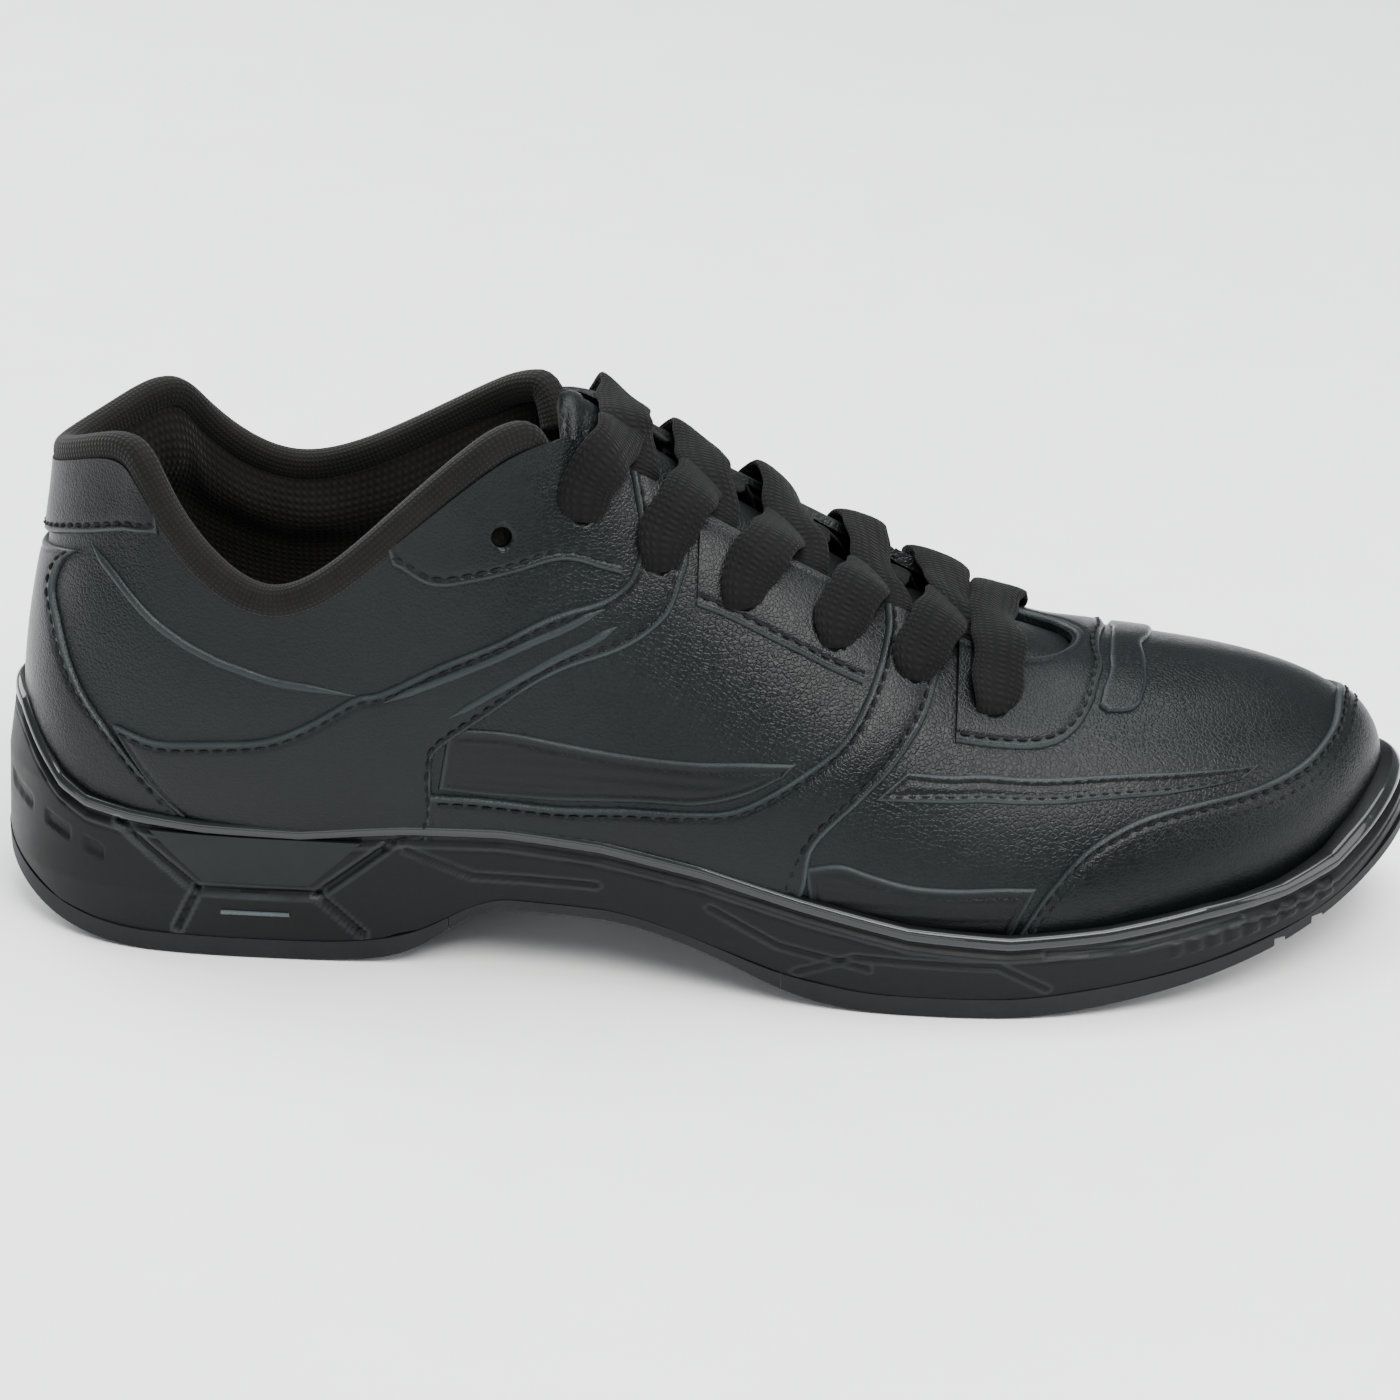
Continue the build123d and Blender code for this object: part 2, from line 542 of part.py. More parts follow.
def over_board(height):
    "line on the side at a height over the insole board"
    ends = [(-2, BOARD_LINE[0][1]), (302, BOARD_LINE[-1][1] + 0.5)]
    return [(x, z + height) for x, z in ends[:1] + BOARD_LINE[1:-1] + ends[1:]]


def inner_plate(inset, bottom, top):
    "plate inside the shoe that follows the insole board, between two lines on the side"
    with BuildPart() as plate:
        with BuildSketch(Plane.XY):
            with BuildLine():
                Spline(*sole_ring(inset), periodic=True)
            make_face()
        extrude(amount=60)
        add(side_plate(bottom, top), mode=Mode.INTERSECT)
    return plate.part


# Steel shank in a pocket of the midsole's floor, under the arch.
SHANK_MIDDLE, SHANK_LENGTH, SHANK_WIDTH, SHANK_THICK = 99.0, 78.0, 15.0, 1.0
SHANK_FIT = 0.1


def shank_blank(margin):
    "the curved steel strip, or its pocket with a margin all round that opens upwards"
    roof = 5.0 if margin else 0.0
    with BuildPart() as blank:
        with BuildSketch(Plane.XY):
            with Locations((SHANK_MIDDLE - HALF_LENGTH, 0)):
                SlotOverall(SHANK_LENGTH + 2 * margin, SHANK_WIDTH + 2 * margin)
        extrude(amount=60)
        add(side_plate(over_board(-BOARD - 0.3 - SHANK_THICK - margin), over_board(-BOARD - 0.3 + roof)),
            mode=Mode.INTERSECT)
    return blank.part


with BuildPart() as midsole:
    add(cup_block)
    add(side_plate(raised(tread_top, [(0, 0.08), (302, 0.08)]), RAND_LINE), mode=Mode.INTERSECT)
    add(cup_cavity, mode=Mode.SUBTRACT)
    for y_sign in (-1, 1):
        add(wall_skin(INSERT_OUTLINE, y_sign), mode=Mode.SUBTRACT)
    add(shank_blank(SHANK_FIT), mode=Mode.SUBTRACT)
finish(midsole, "midsole")

inset_outline = [(34.0, 28.6), (45.2, 17.9), (67.8, 17.9), (78.8, 28.1)]
for side, y_sign in (("lateral", -1), ("medial", 1)):
    with BuildPart() as heel_insert:
        add(wall_skin(inset_outline, y_sign))
    finish(heel_insert, "heel_insert_" + side)


def sole_layer(lower, upper, start, end):
    "the cup's block between two lines on the side, from one distance from the heel to another"
    with BuildPart() as piece:
        add(cup_block)
        add(side_plate(lower, upper), mode=Mode.INTERSECT)
        with BuildSketch(Plane.XY.offset(-5)):
            with Locations(((start + end) / 2 - HALF_LENGTH, 0)):
                Rectangle(end - start, 130)
        extrude(amount=60, mode=Mode.INTERSECT)
    return piece.part


def pad_block(inset, start, end, depth, margin=0.0):
    "flat pad let into the underside, inside an inset of the sole's outline"
    with BuildPart() as pad:
        with BuildSketch(Plane.XY.offset(-5)):
            with BuildLine():
                Spline(*sole_ring(inset - margin), periodic=True)
            make_face()
            with Locations(((start + end) / 2 - HALF_LENGTH, 0)):
                Rectangle(end - start + 2 * margin, 130, mode=Mode.INTERSECT)
        extrude(amount=60)
        add(side_plate(UNDERSIDE, raised(UNDERSIDE, [(0, depth + margin), (302, depth + margin)])),
            mode=Mode.INTERSECT)
    return pad.part


HEEL_PAD = (11.0, 24.0, 84.0)      # inset, start and end
SLIDE_PAD = (12.0, 176.0, 266.0)
FIT = 0.12
RIB_PITCH = 7.0
RIB_WIDTH = 2.4
RIB_DEPTH = 1.0

with BuildPart() as outsole_heel:
    add(sole_layer(UNDERSIDE, tread_top, -1, HEEL_BREAST))
    add(pad_block(*HEEL_PAD, PAD, FIT), mode=Mode.SUBTRACT)
finish(outsole_heel, "outsole_heel")

with BuildPart() as shank_plate:
    add(sole_layer(UNDERSIDE, tread_top, HEEL_BREAST + 0.1, BALL_START - 0.1))
finish(shank_plate, "shank_plate")

with BuildPart() as outsole_forefoot:
    add(sole_layer(UNDERSIDE, tread_top, BALL_START, 301))
    add(pad_block(*SLIDE_PAD, PAD, FIT), mode=Mode.SUBTRACT)
    # flex grooves across the toe, ahead of the pad
    for distance in (271.0, 279.0):
        height = along(UNDERSIDE, distance)
        with BuildSketch(Plane.XY.offset(height - 3)):
            with Locations((distance - HALF_LENGTH, 3)):
                Rectangle(RIB_WIDTH, 90)
        extrude(amount=3 + RIB_DEPTH, mode=Mode.SUBTRACT)
finish(outsole_forefoot, "outsole_forefoot")

with BuildPart() as heel_pad:
    add(pad_block(*HEEL_PAD, PAD))
    # ribs that brake the heel
    start = HEEL_PAD[1] + RIB_PITCH
    while start < HEEL_PAD[2] - RIB_PITCH / 2:
        with BuildSketch(Plane.XY.offset(-3)):
            with Locations((start - HALF_LENGTH, 0)):
                Rectangle(RIB_WIDTH, 80)
        extrude(amount=3 + RIB_DEPTH, mode=Mode.SUBTRACT)
        start = start + RIB_PITCH
finish(heel_pad, "heel_pad")

with BuildPart() as slide_pad:
    add(pad_block(*SLIDE_PAD, PAD))
finish(slide_pad, "slide_pad")

with BuildPart() as steel_shank:
    add(shank_blank(0.0))
finish(steel_shank, "steel_shank")

with BuildPart() as insole_board:
    add(inner_plate(3.4, over_board(-BOARD - 0.1), over_board(-0.1)))
finish(insole_board, "insole_board")

with BuildPart() as insole_foam:
    add(inner_plate(11.6, over_board(0.15), over_board(INSOLE_FOAM)))
finish(insole_foam, "insole_foam")

with BuildPart() as insole_cover:
    add(inner_plate(11.2, over_board(INSOLE_FOAM + 0.1), over_board(INSOLE_FOAM + INSOLE_COVER)))
finish(insole_cover, "insole_cover")

# ---- tongue -----------------------------------------------------------------------------------

# (distance from the heel, height, half width, drop towards the edges per square millimetre)
TONGUE_EDGE_DROP = 9.0e-5     # further drop per millimetre to the fourth power, under the facings
TONGUE_SECTIONS = [(236.0, 57.6, 12.0, 0.010), (222.0, 58.0, 14.0, 0.010), (205.0, 63.5, 16.0, 0.016),
                   (185.0, 74.5, 20.0, 0.020), (165.0, 86.0, 19.5, 0.030), (145.0, 98.6, 17.0, 0.054),
                   (130.0, 109.0, 15.8, 0.064), (119.5, 117.5, 15.5, 0.060)]
TONGUE_SHELL = 1.1
TONGUE_FOAM = 4.4
TONGUE_FOAM_BASE = 1.4
TONGUE_LINING = 0.8
tongue_line = smooth_path(TONGUE_SECTIONS, 6)


def tongue_point(u, v, height):
    "point on the tongue: u runs from the sewn base to the top, v across, height over its face"
    place = u * (len(tongue_line) - 1)
    i = min(int(place), len(tongue_line) - 2)
    here = tongue_line[i] + (tongue_line[i + 1] - tongue_line[i]) * (place - i)
    ahead = tongue_line[i + 1] - tongue_line[i]
    x, z, half, drop = here
    y = v * half
    slope = 2 * drop * y + 4 * TONGUE_EDGE_DROP * y ** 3
    normal = np.array([ahead[1], -slope * ahead[0], -ahead[0]])
    normal = normal / np.linalg.norm(normal)
    fall = drop * y * y + TONGUE_EDGE_DROP * y ** 4
    return Vector(*(np.array([x - HALF_LENGTH, y, z - fall]) + height * normal))


def tongue_layer(outer, inner, u_span=(0.0, 1.0), v_span=(-1.0, 1.0), columns=30, rows=11):
    "layer of the tongue between two heights, each a number or a function of u"
    def grid(value):
        points = []
        for i in range(columns):
            u = u_span[0] + (u_span[1] - u_span[0]) * i / (columns - 1)
            height = value(u) if callable(value) else value
            row = [v_span[0] + (v_span[1] - v_span[0]) * j / (rows - 1) for j in range(rows)]
            points.append([tongue_point(u, v, height) for v in row])
        return points

    return slab(grid(outer), grid(inner))


def foam_floor(u):
    "depth of the tongue foam's lower face"
    thickness = TONGUE_FOAM - (TONGUE_FOAM - TONGUE_FOAM_BASE) * fade(u, 0.0, 0.35)
    return -TONGUE_SHELL - 0.05 - thickness


with BuildPart() as tongue_shell:
    add(tongue_layer(0.0, -TONGUE_SHELL))
finish(tongue_shell, "tongue_shell")

with BuildPart() as tongue_foam:
    add(tongue_layer(-TONGUE_SHELL - 0.05, foam_floor, (0.02, 0.99), (-0.97, 0.97)))
finish(tongue_foam, "tongue_foam")

with BuildPart() as tongue_lining:
    add(tongue_layer(lambda u: foam_floor(u) - 0.05, lambda u: foam_floor(u) - 0.05 - TONGUE_LINING, (0.02, 0.99),
                     (-0.95, 0.95)))
finish(tongue_lining, "tongue_lining")

# Flat webbing strap across the tongue, between two crossings of the lace.
with BuildPart() as tongue_loop:
    add(tongue_layer(0.9, 0.05, (0.75, 0.80), (-0.42, 0.42), 6, 7))
finish(tongue_loop, "tongue_loop")

# ---- lace -------------------------------------------------------------------------------------

INSIDE_DEPTH = -5.2       # centre of the lace under a facing
RIM_LIFT = 4.2            # the same over the throat's edge
CROSS_LOW = LACE / 2 + 1.0
CROSS_HIGH = CROSS_LOW + LACE + 0.4
FRONT_HOLE = len(LACE_HOLES) - 1


def throat_place(x):
    "share of the way round where the throat's edge has this distance from the heel"
    low, high = 0.22, 0.5
    for _ in range(30):
        middle = (low + high) / 2
        if surface(middle, THROAT_TOP)[0] < x - HALF_LENGTH:
            low = middle
        else:
            high = middle
    return low


def at_place(s, t, height, medial):
    return offset_point(1 - s if medial else s, t, height)


def over_tongue(x, y, height):
    "point at a height over the tongue's face"
    line = sorted((p[0], p[1], p[3]) for p in tongue_line)
    top = along([p[:2] for p in line], x)
    drop = along([(p[0], p[2]) for p in line], x)
    steepness = math.hypot(1, 2 * drop * y)
    return Vector(x - HALF_LENGTH, y, top - drop * y * y - TONGUE_EDGE_DROP * y ** 4 + height * steepness)


def crossing(number, medial, height):
    "route from under one facing, over the tongue and the other facing, to the next hole behind"
    start, end = LACE_HOLES[number][0], LACE_HOLES[number - 1][0]
    under_x = start + 0.2 * (end - start)
    over_x = start + 0.8 * (end - start)
    hole, following = HOLE_PLACES[number], HOLE_PLACES[number - 1]
    edge = at_place(throat_place(under_x), THROAT_TOP, INSIDE_DEPTH, medial)
    return [at_place(*hole, INSIDE_DEPTH, medial),
            edge,
            over_tongue(start + 0.36 * (end - start), 0.52 * edge.Y, height),
            over_tongue(start + 0.52 * (end - start), 0.0, height),
            at_place(throat_place(over_x), THROAT_TOP, RIM_LIFT, not medial),
            at_place(*following, LACE_LIFT, not medial)]


TAIL_PLACES = [(0.234, 0.69), (0.224, 0.59), (0.214, 0.51)]
AGLET_LENGTH = 14.0
AGLET_DIAMETER = 3.0


def tail(medial):
    "the lace's end, tucked down between the lining and the foot"
    points = [at_place(*HOLE_PLACES[1], INSIDE_DEPTH, medial)]
    for s, t in TAIL_PLACES:
        points.append(at_place(s, t, lining_inside(s, t) - AGLET_DIAMETER / 2 - 0.9, medial))
    return points


def half_route(medial):
    "half of the lace, from the front hole of one side to its tucked end"
    points = [at_place(*HOLE_PLACES[FRONT_HOLE], LACE_LIFT, medial)]
    side = medial
    for number in range(FRONT_HOLE, 1, -1):
        high = (number + int(medial)) % 2 == 0
        points = points + crossing(number, side, CROSS_HIGH if high else CROSS_LOW)
        side = not side
    return points + tail(side)


def corner_radii(points):
    "radius of each corner: as large as its two runs allow, up to five lace widths"
    radii = []
    for before, corner, after in zip(points, points[1:], points[2:]):
        turn = math.radians((corner - before).get_angle(after - corner))
        shorter = min((corner - before).length, (after - corner).length)
        radii.append(min(0.45 * shorter / math.tan(turn / 2), 5 * LACE))
    return radii


front_bar_x = LACE_HOLES[FRONT_HOLE][0]
bar_place = throat_place(front_bar_x)
front_bar = [at_place(bar_place, THROAT_TOP, RIM_LIFT, False),
             over_tongue(front_bar_x, 0.0, CROSS_LOW),
             at_place(bar_place, THROAT_TOP, RIM_LIFT, True)]
lace_points = list(reversed(half_route(False))) + front_bar + half_route(True)
lace_radii = corner_radii(lace_points)

with BuildPart() as lace:
    with BuildLine() as route:
        FilletPolyline(*lace_points, radius=lace_radii)
    with BuildSketch(Plane(origin=route.line @ 0, z_dir=route.line % 0)):
        Circle(LACE / 2)
    sweep()
finish(lace, "lace")

with BuildPart() as lace_tips:
    for end, direction in ((route.line @ 0, (route.line % 0) * -1), (route.line @ 1, route.line % 1)):
        with BuildSketch(Plane(origin=end + direction * 0.02, z_dir=direction)):
            Circle(AGLET_DIAMETER / 2)
        extrude(amount=AGLET_LENGTH)
finish(lace_tips, "lace_tips")
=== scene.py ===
import math

import bmesh
import bpy
import numpy as np
from mathutils import Matrix, Vector


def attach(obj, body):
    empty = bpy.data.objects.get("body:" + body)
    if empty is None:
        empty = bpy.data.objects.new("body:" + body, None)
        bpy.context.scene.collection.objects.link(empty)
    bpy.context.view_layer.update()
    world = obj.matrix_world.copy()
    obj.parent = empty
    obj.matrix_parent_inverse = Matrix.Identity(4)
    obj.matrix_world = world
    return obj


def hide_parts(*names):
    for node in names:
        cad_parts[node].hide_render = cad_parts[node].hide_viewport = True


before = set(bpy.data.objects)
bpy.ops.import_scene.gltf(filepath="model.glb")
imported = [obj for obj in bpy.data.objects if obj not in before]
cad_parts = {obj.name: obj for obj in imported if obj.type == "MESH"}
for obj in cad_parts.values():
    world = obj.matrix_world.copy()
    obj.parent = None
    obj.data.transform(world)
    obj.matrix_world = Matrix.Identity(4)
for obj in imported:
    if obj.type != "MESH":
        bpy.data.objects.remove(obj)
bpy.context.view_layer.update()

# Lengths in this script are millimetres in the row frame until make_object() turns them into metres.
HALF_LENGTH = 150.0
scene = bpy.context.scene

# ---- camera, floor and light ------------------------------------------------------------------

AZIMUTH, ELEVATION, ROLL, DISTANCE = 1.2, 24.4, 1.0, 1.149
target = Vector((-0.0004, 0.0, 0.055))
azimuth, elevation = math.radians(AZIMUTH), math.radians(ELEVATION)
toward = Vector((math.sin(azimuth) * math.cos(elevation), -math.cos(azimuth) * math.cos(elevation),
                 math.sin(elevation)))
camera_data = bpy.data.cameras.new("camera")
camera = bpy.data.objects.new("camera", camera_data)
scene.collection.objects.link(camera)
camera.location = target + toward * DISTANCE
camera.rotation_euler = ((-toward).to_track_quat("-Z", "Y").to_matrix()
                         @ Matrix.Rotation(math.radians(ROLL), 3, "Z")).to_euler()
camera_data.lens = 139.2
camera_data.sensor_width = 36.0
camera_data.shift_x = -0.0054
camera_data.shift_y = -0.026
camera_data.clip_start = 0.02
scene.camera = camera


def area_light(name, place, size, power, aim=(0.0, 0.0, 0.05), colour=(1, 1, 1)):
    data = bpy.data.lights.new(name, "AREA")
    data.energy = power
    data.shape = "RECTANGLE"
    data.size, data.size_y = size
    data.color = colour
    light = bpy.data.objects.new(name, data)
    scene.collection.objects.link(light)
    light.location = place
    light.rotation_euler = (Vector(aim) - Vector(place)).to_track_quat("-Z", "Y").to_euler()


area_light("key", (0.35, -0.75, 1.15), (0.9, 0.7), 30, colour=(1.0, 0.99, 0.97))
area_light("top", (0.05, 0.25, 1.2), (1.2, 0.8), 22, colour=(0.95, 0.98, 1.0))
area_light("front", (1.1, -0.25, 0.55), (0.6, 0.8), 7)
area_light("low_side", (-0.45, -1.1, 0.30), (1.3, 0.35), 4.0, colour=(0.93, 0.97, 1.0))
area_light("back", (-0.9, 0.7, 0.7), (0.8, 0.8), 17)
world = bpy.data.worlds.new("studio")
scene.world = world
world.use_nodes = True
world.node_tree.nodes["Background"].inputs["Color"].default_value = (0.95, 0.97, 1.0, 1)
world.node_tree.nodes["Background"].inputs["Strength"].default_value = 0.42


# ---- materials --------------------------------------------------------------------------------

def new_material(name, colour, roughness, specular):
    material = bpy.data.materials.new(name)
    material.use_nodes = True
    shader = material.node_tree.nodes["Principled BSDF"]
    shader.inputs["Base Color"].default_value = (*colour, 1)
    shader.inputs["Roughness"].default_value = roughness
    shader.inputs["Specular IOR Level"].default_value = specular
    return material, material.node_tree, shader


def node(tree, kind, **values):
    made = tree.nodes.new(kind)
    for key, value in values.items():
        if key in made.inputs:
            made.inputs[key].default_value = value
        else:
            setattr(made, key, value)
    return made


def place_of(tree, source="Object"):
    return tree.nodes.new("ShaderNodeTexCoord").outputs[source]


def noise(tree, place, scale, detail, **values):
    made = node(tree, "ShaderNodeTexNoise", Scale=scale, Detail=detail, **values)
    tree.links.new(place, made.inputs["Vector"])
    return made.outputs["Fac"]


def add_bump(tree, shader, height, strength, distance, after=None):
    bump = node(tree, "ShaderNodeBump", Strength=strength, Distance=distance)
    tree.links.new(height, bump.inputs["Height"])
    if after is not None:
        tree.links.new(after, bump.inputs["Normal"])
    tree.links.new(bump.outputs["Normal"], shader.inputs["Normal"])
    return bump.outputs["Normal"]


def vary(tree, factor, low, high, socket, start=0.3, end=0.7):
    "colour or number that goes from low to high as a texture does"
    ramp = tree.nodes.new("ShaderNodeValToRGB")
    ramp.color_ramp.elements[0].position = start
    ramp.color_ramp.elements[1].position = end
    for element, value in zip(ramp.color_ramp.elements, (low, high)):
        element.color = (*value, 1) if isinstance(value, tuple) else (value, value, value, 1)
    tree.links.new(factor, ramp.inputs["Fac"])
    tree.links.new(ramp.outputs["Color"], socket)


def paint_edge_highlight(tree, tone, dark, light, shader):
    """colour that follows the tone and turns paler where the mesh's attribute says so: painted highlight
    along edges that catch the light
    """
    highlight_share = node(tree, "ShaderNodeAttribute", attribute_name="painted_highlight")
    blend = tree.nodes.new("ShaderNodeMix")
    blend.data_type = "RGBA"
    tree.links.new(highlight_share.outputs["Fac"], blend.inputs["Factor"])
    vary(tree, tone, dark, light, blend.inputs["A"])
    pale = tuple(min(1.0, 5.0 * value + 0.008) for value in light)
    vary(tree, tone, light, pale, blend.inputs["B"], 0.2, 0.6)
    tree.links.new(blend.outputs["Result"], shader.inputs["Base Color"])


def leather(name, dark, light, roughness=(0.34, 0.48), grain=1000.0, depth=0.00016):
    """grained leather: pebbled cells and fine pores, changes of tone and shine, and edges painted paler as
    highlight
    """
    material, tree, shader = new_material(name, dark, 0.5, 0.17)
    place = place_of(tree)
    warp = node(tree, "ShaderNodeTexNoise", Scale=grain * 0.35, Detail=3.0)
    tree.links.new(place, warp.inputs["Vector"])
    mix = node(tree, "ShaderNodeVectorMath", operation="MULTIPLY_ADD")
    mix.inputs[1].default_value = (0.0009, 0.0009, 0.0009)
    tree.links.new(warp.outputs["Color"], mix.inputs[0])
    tree.links.new(place, mix.inputs[2])
    cells = node(tree, "ShaderNodeTexVoronoi", feature="DISTANCE_TO_EDGE", Scale=grain)
    tree.links.new(mix.outputs["Vector"], cells.inputs["Vector"])
    pebble = node(tree, "ShaderNodeMapRange", interpolation_type="SMOOTHSTEP")
    pebble.inputs["From Max"].default_value = 0.22
    tree.links.new(cells.outputs["Distance"], pebble.inputs["Value"])
    first = add_bump(tree, shader, pebble.outputs["Result"], 0.35, depth)
    second = add_bump(tree, shader, noise(tree, place, grain * 2.6, 2.0), 0.16, depth * 0.6, first)
    add_bump(tree, shader, noise(tree, place, 70.0, 4.0, Roughness=0.6), 0.22, 0.0009, second)
    tone = noise(tree, place, 26.0, 5.0, Roughness=0.62)
    paint_edge_highlight(tree, tone, dark, light, shader)
    vary(tree, tone, roughness[0], roughness[1], shader.inputs["Roughness"], 0.35, 0.68)
    return material


def textile(name, dark, light, pitch, depth, sheen, source="UV"):
    "plain weave of crossing yarns, a little uneven, with fuzz"
    material, tree, shader = new_material(name, dark, 0.85, 0.15)
    place = place_of(tree, source)
    waves = []
    for direction in ("X", "Y"):
        wave = node(tree, "ShaderNodeTexWave", wave_type="BANDS", bands_direction=direction,
                    Scale=0.32 / pitch, Distortion=0.6)
        wave.inputs["Detail Scale"].default_value = 2.0
        tree.links.new(place, wave.inputs["Vector"])
        waves.append(wave.outputs["Fac"])
    product = node(tree, "ShaderNodeMath", operation="MULTIPLY")
    tree.links.new(waves[0], product.inputs[0])
    tree.links.new(waves[1], product.inputs[1])
    first = add_bump(tree, shader, product.outputs["Value"], 0.6, depth)
    add_bump(tree, shader, noise(tree, place_of(tree), 1500.0, 3.0), 0.4, depth * 0.6, first)
    blend = node(tree, "ShaderNodeMath", operation="MULTIPLY_ADD")
    blend.inputs[1].default_value = 0.35
    tree.links.new(product.outputs["Value"], blend.inputs[0])
    tree.links.new(noise(tree, place_of(tree), 60.0, 6.0, Roughness=0.7), blend.inputs[2])
    vary(tree, blend.outputs["Value"], dark, light, shader.inputs["Base Color"], 0.35, 0.85)
    shader.inputs["Sheen Weight"].default_value = sheen
    shader.inputs["Sheen Roughness"].default_value = 0.45
    return material


def moulded(name, dark, light, roughness=(0.38, 0.55), grain=1800.0, depth=0.00012, coat=0.0):
    """moulded rubber or plastic: fine spark texture, slow changes of shine, and painted highlight where the
    mesh marks it
    """
    material, tree, shader = new_material(name, dark, 0.5, 0.15)
    place = place_of(tree)
    first = add_bump(tree, shader, noise(tree, place, grain, 3.0, Roughness=0.6), 0.3, depth)
    add_bump(tree, shader, noise(tree, place, 120.0, 3.0), 0.12, 0.0004, first)
    tone = noise(tree, place, 34.0, 6.0, Roughness=0.65)
    paint_edge_highlight(tree, tone, dark, light, shader)
    vary(tree, tone, roughness[0], roughness[1], shader.inputs["Roughness"], 0.35, 0.7)
    shader.inputs["Coat Weight"].default_value = coat
    return material


BASE = leather("base_leather", (0.0022, 0.0032, 0.0036), (0.0046, 0.0062, 0.0067), (0.30, 0.42))
COATED = leather("overlay_leather", (0.0020, 0.0029, 0.0033), (0.0043, 0.0058, 0.0063), (0.27, 0.40),
                 1150.0, 0.00012)
RIBBED = leather("ribbed_leather", (0.0015, 0.0022, 0.0025), (0.0032, 0.0044, 0.0048), (0.34, 0.46),
                 1400.0, 0.0001)
# embossed lines are the same black leather; their paler colour is painted highlight on the raised crests
EMBOSSED_HIGHLIGHT = leather("embossed_line_painted_highlight", (0.010, 0.0135, 0.0145), (0.017, 0.0225, 0.024), (0.28, 0.4),
                   1400.0, 0.00008)
THREAD = textile("stitch_thread", (0.0015, 0.0017, 0.0018), (0.010, 0.0115, 0.012), 0.0006, 0.0001, 0.05,
                 "Object")
BINDING = textile("binding_weave", (0.0022, 0.0020, 0.0018), (0.0072, 0.0066, 0.0060), 0.0010, 0.0003, 0.06)
LINING_CLOTH = textile("lining_knit", (0.0020, 0.0017, 0.0015), (0.0066, 0.0057, 0.0050), 0.0016, 0.0005,
                       0.06)
LACE_WEAVE = textile("lace_weave", (0.0007, 0.0008, 0.0007), (0.0036, 0.0038, 0.0034), 0.0013, 0.0006, 0.02)
SOCK_CLOTH = textile("sock_cloth", (0.0030, 0.0030, 0.0032), (0.0095, 0.0095, 0.0100), 0.0014, 0.0004, 0.08)
SOLE = moulded("sole_rubber", (0.0015, 0.0019, 0.0021), (0.0034, 0.0042, 0.0045))
# glossy bead rubber: real coat and low roughness, and a paler colour that is painted highlight
BEAD_GLOSS_AND_HIGHLIGHT = moulded("glossy_bead_painted_highlight", (0.0060, 0.0075, 0.0080), (0.0110, 0.0132, 0.0140), (0.18, 0.30),
                 900.0, 0.00004, 0.5)
LIGHT_INSERT = moulded("insert_plastic", (0.0050, 0.0062, 0.0068), (0.0095, 0.0115, 0.0122), (0.28, 0.42))
LIGHT_BAR = moulded("light_bar", (0.045, 0.055, 0.058), (0.085, 0.10, 0.105), (0.25, 0.35))
TREAD_RUBBER = moulded("tread_rubber", (0.0060, 0.0064, 0.0068), (0.0125, 0.0132, 0.0138), (0.5, 0.7))
SHANK_PLASTIC = moulded("shank_plastic", (0.0050, 0.0058, 0.0062), (0.0105, 0.0120, 0.0128), (0.3, 0.45))
PAD_RUBBER = moulded("pad_rubber", (0.012, 0.012, 0.0125), (0.022, 0.022, 0.023), (0.55, 0.75))
FELT = textile("slide_felt", (0.20, 0.19, 0.175), (0.36, 0.345, 0.32), 0.0018, 0.0006, 0.5, "Object")
BOARD_FIBRE = textile("board_fibre", (0.22, 0.17, 0.12), (0.36, 0.30, 0.22), 0.002, 0.0003, 0.1, "Object")
STIFFENER = moulded("stiffener_sheet", (0.20, 0.185, 0.16), (0.30, 0.28, 0.25), (0.6, 0.75))
STEEL = moulded("strip_steel", (0.42, 0.43, 0.45), (0.58, 0.59, 0.61), (0.28, 0.42), 700.0, 0.00005)
STEEL.node_tree.nodes["Principled BSDF"].inputs["Metallic"].default_value = 1.0
TIP_PLASTIC = moulded("tip_plastic", (0.012, 0.012, 0.012), (0.03, 0.03, 0.03), (0.15, 0.3))
FLOOR = moulded("pale_floor", (0.92, 0.92, 0.92), (0.95, 0.95, 0.95), (0.7, 0.8), 400.0, 0.00005)


def dress(names, material):
    "give carried-over CAD nodes a material"
    for name in names:
        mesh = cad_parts[name].data
        mesh.materials.clear()
        mesh.materials.append(material)


# ---- the upper's surface, the same as in the CAD source ---------------------------------------

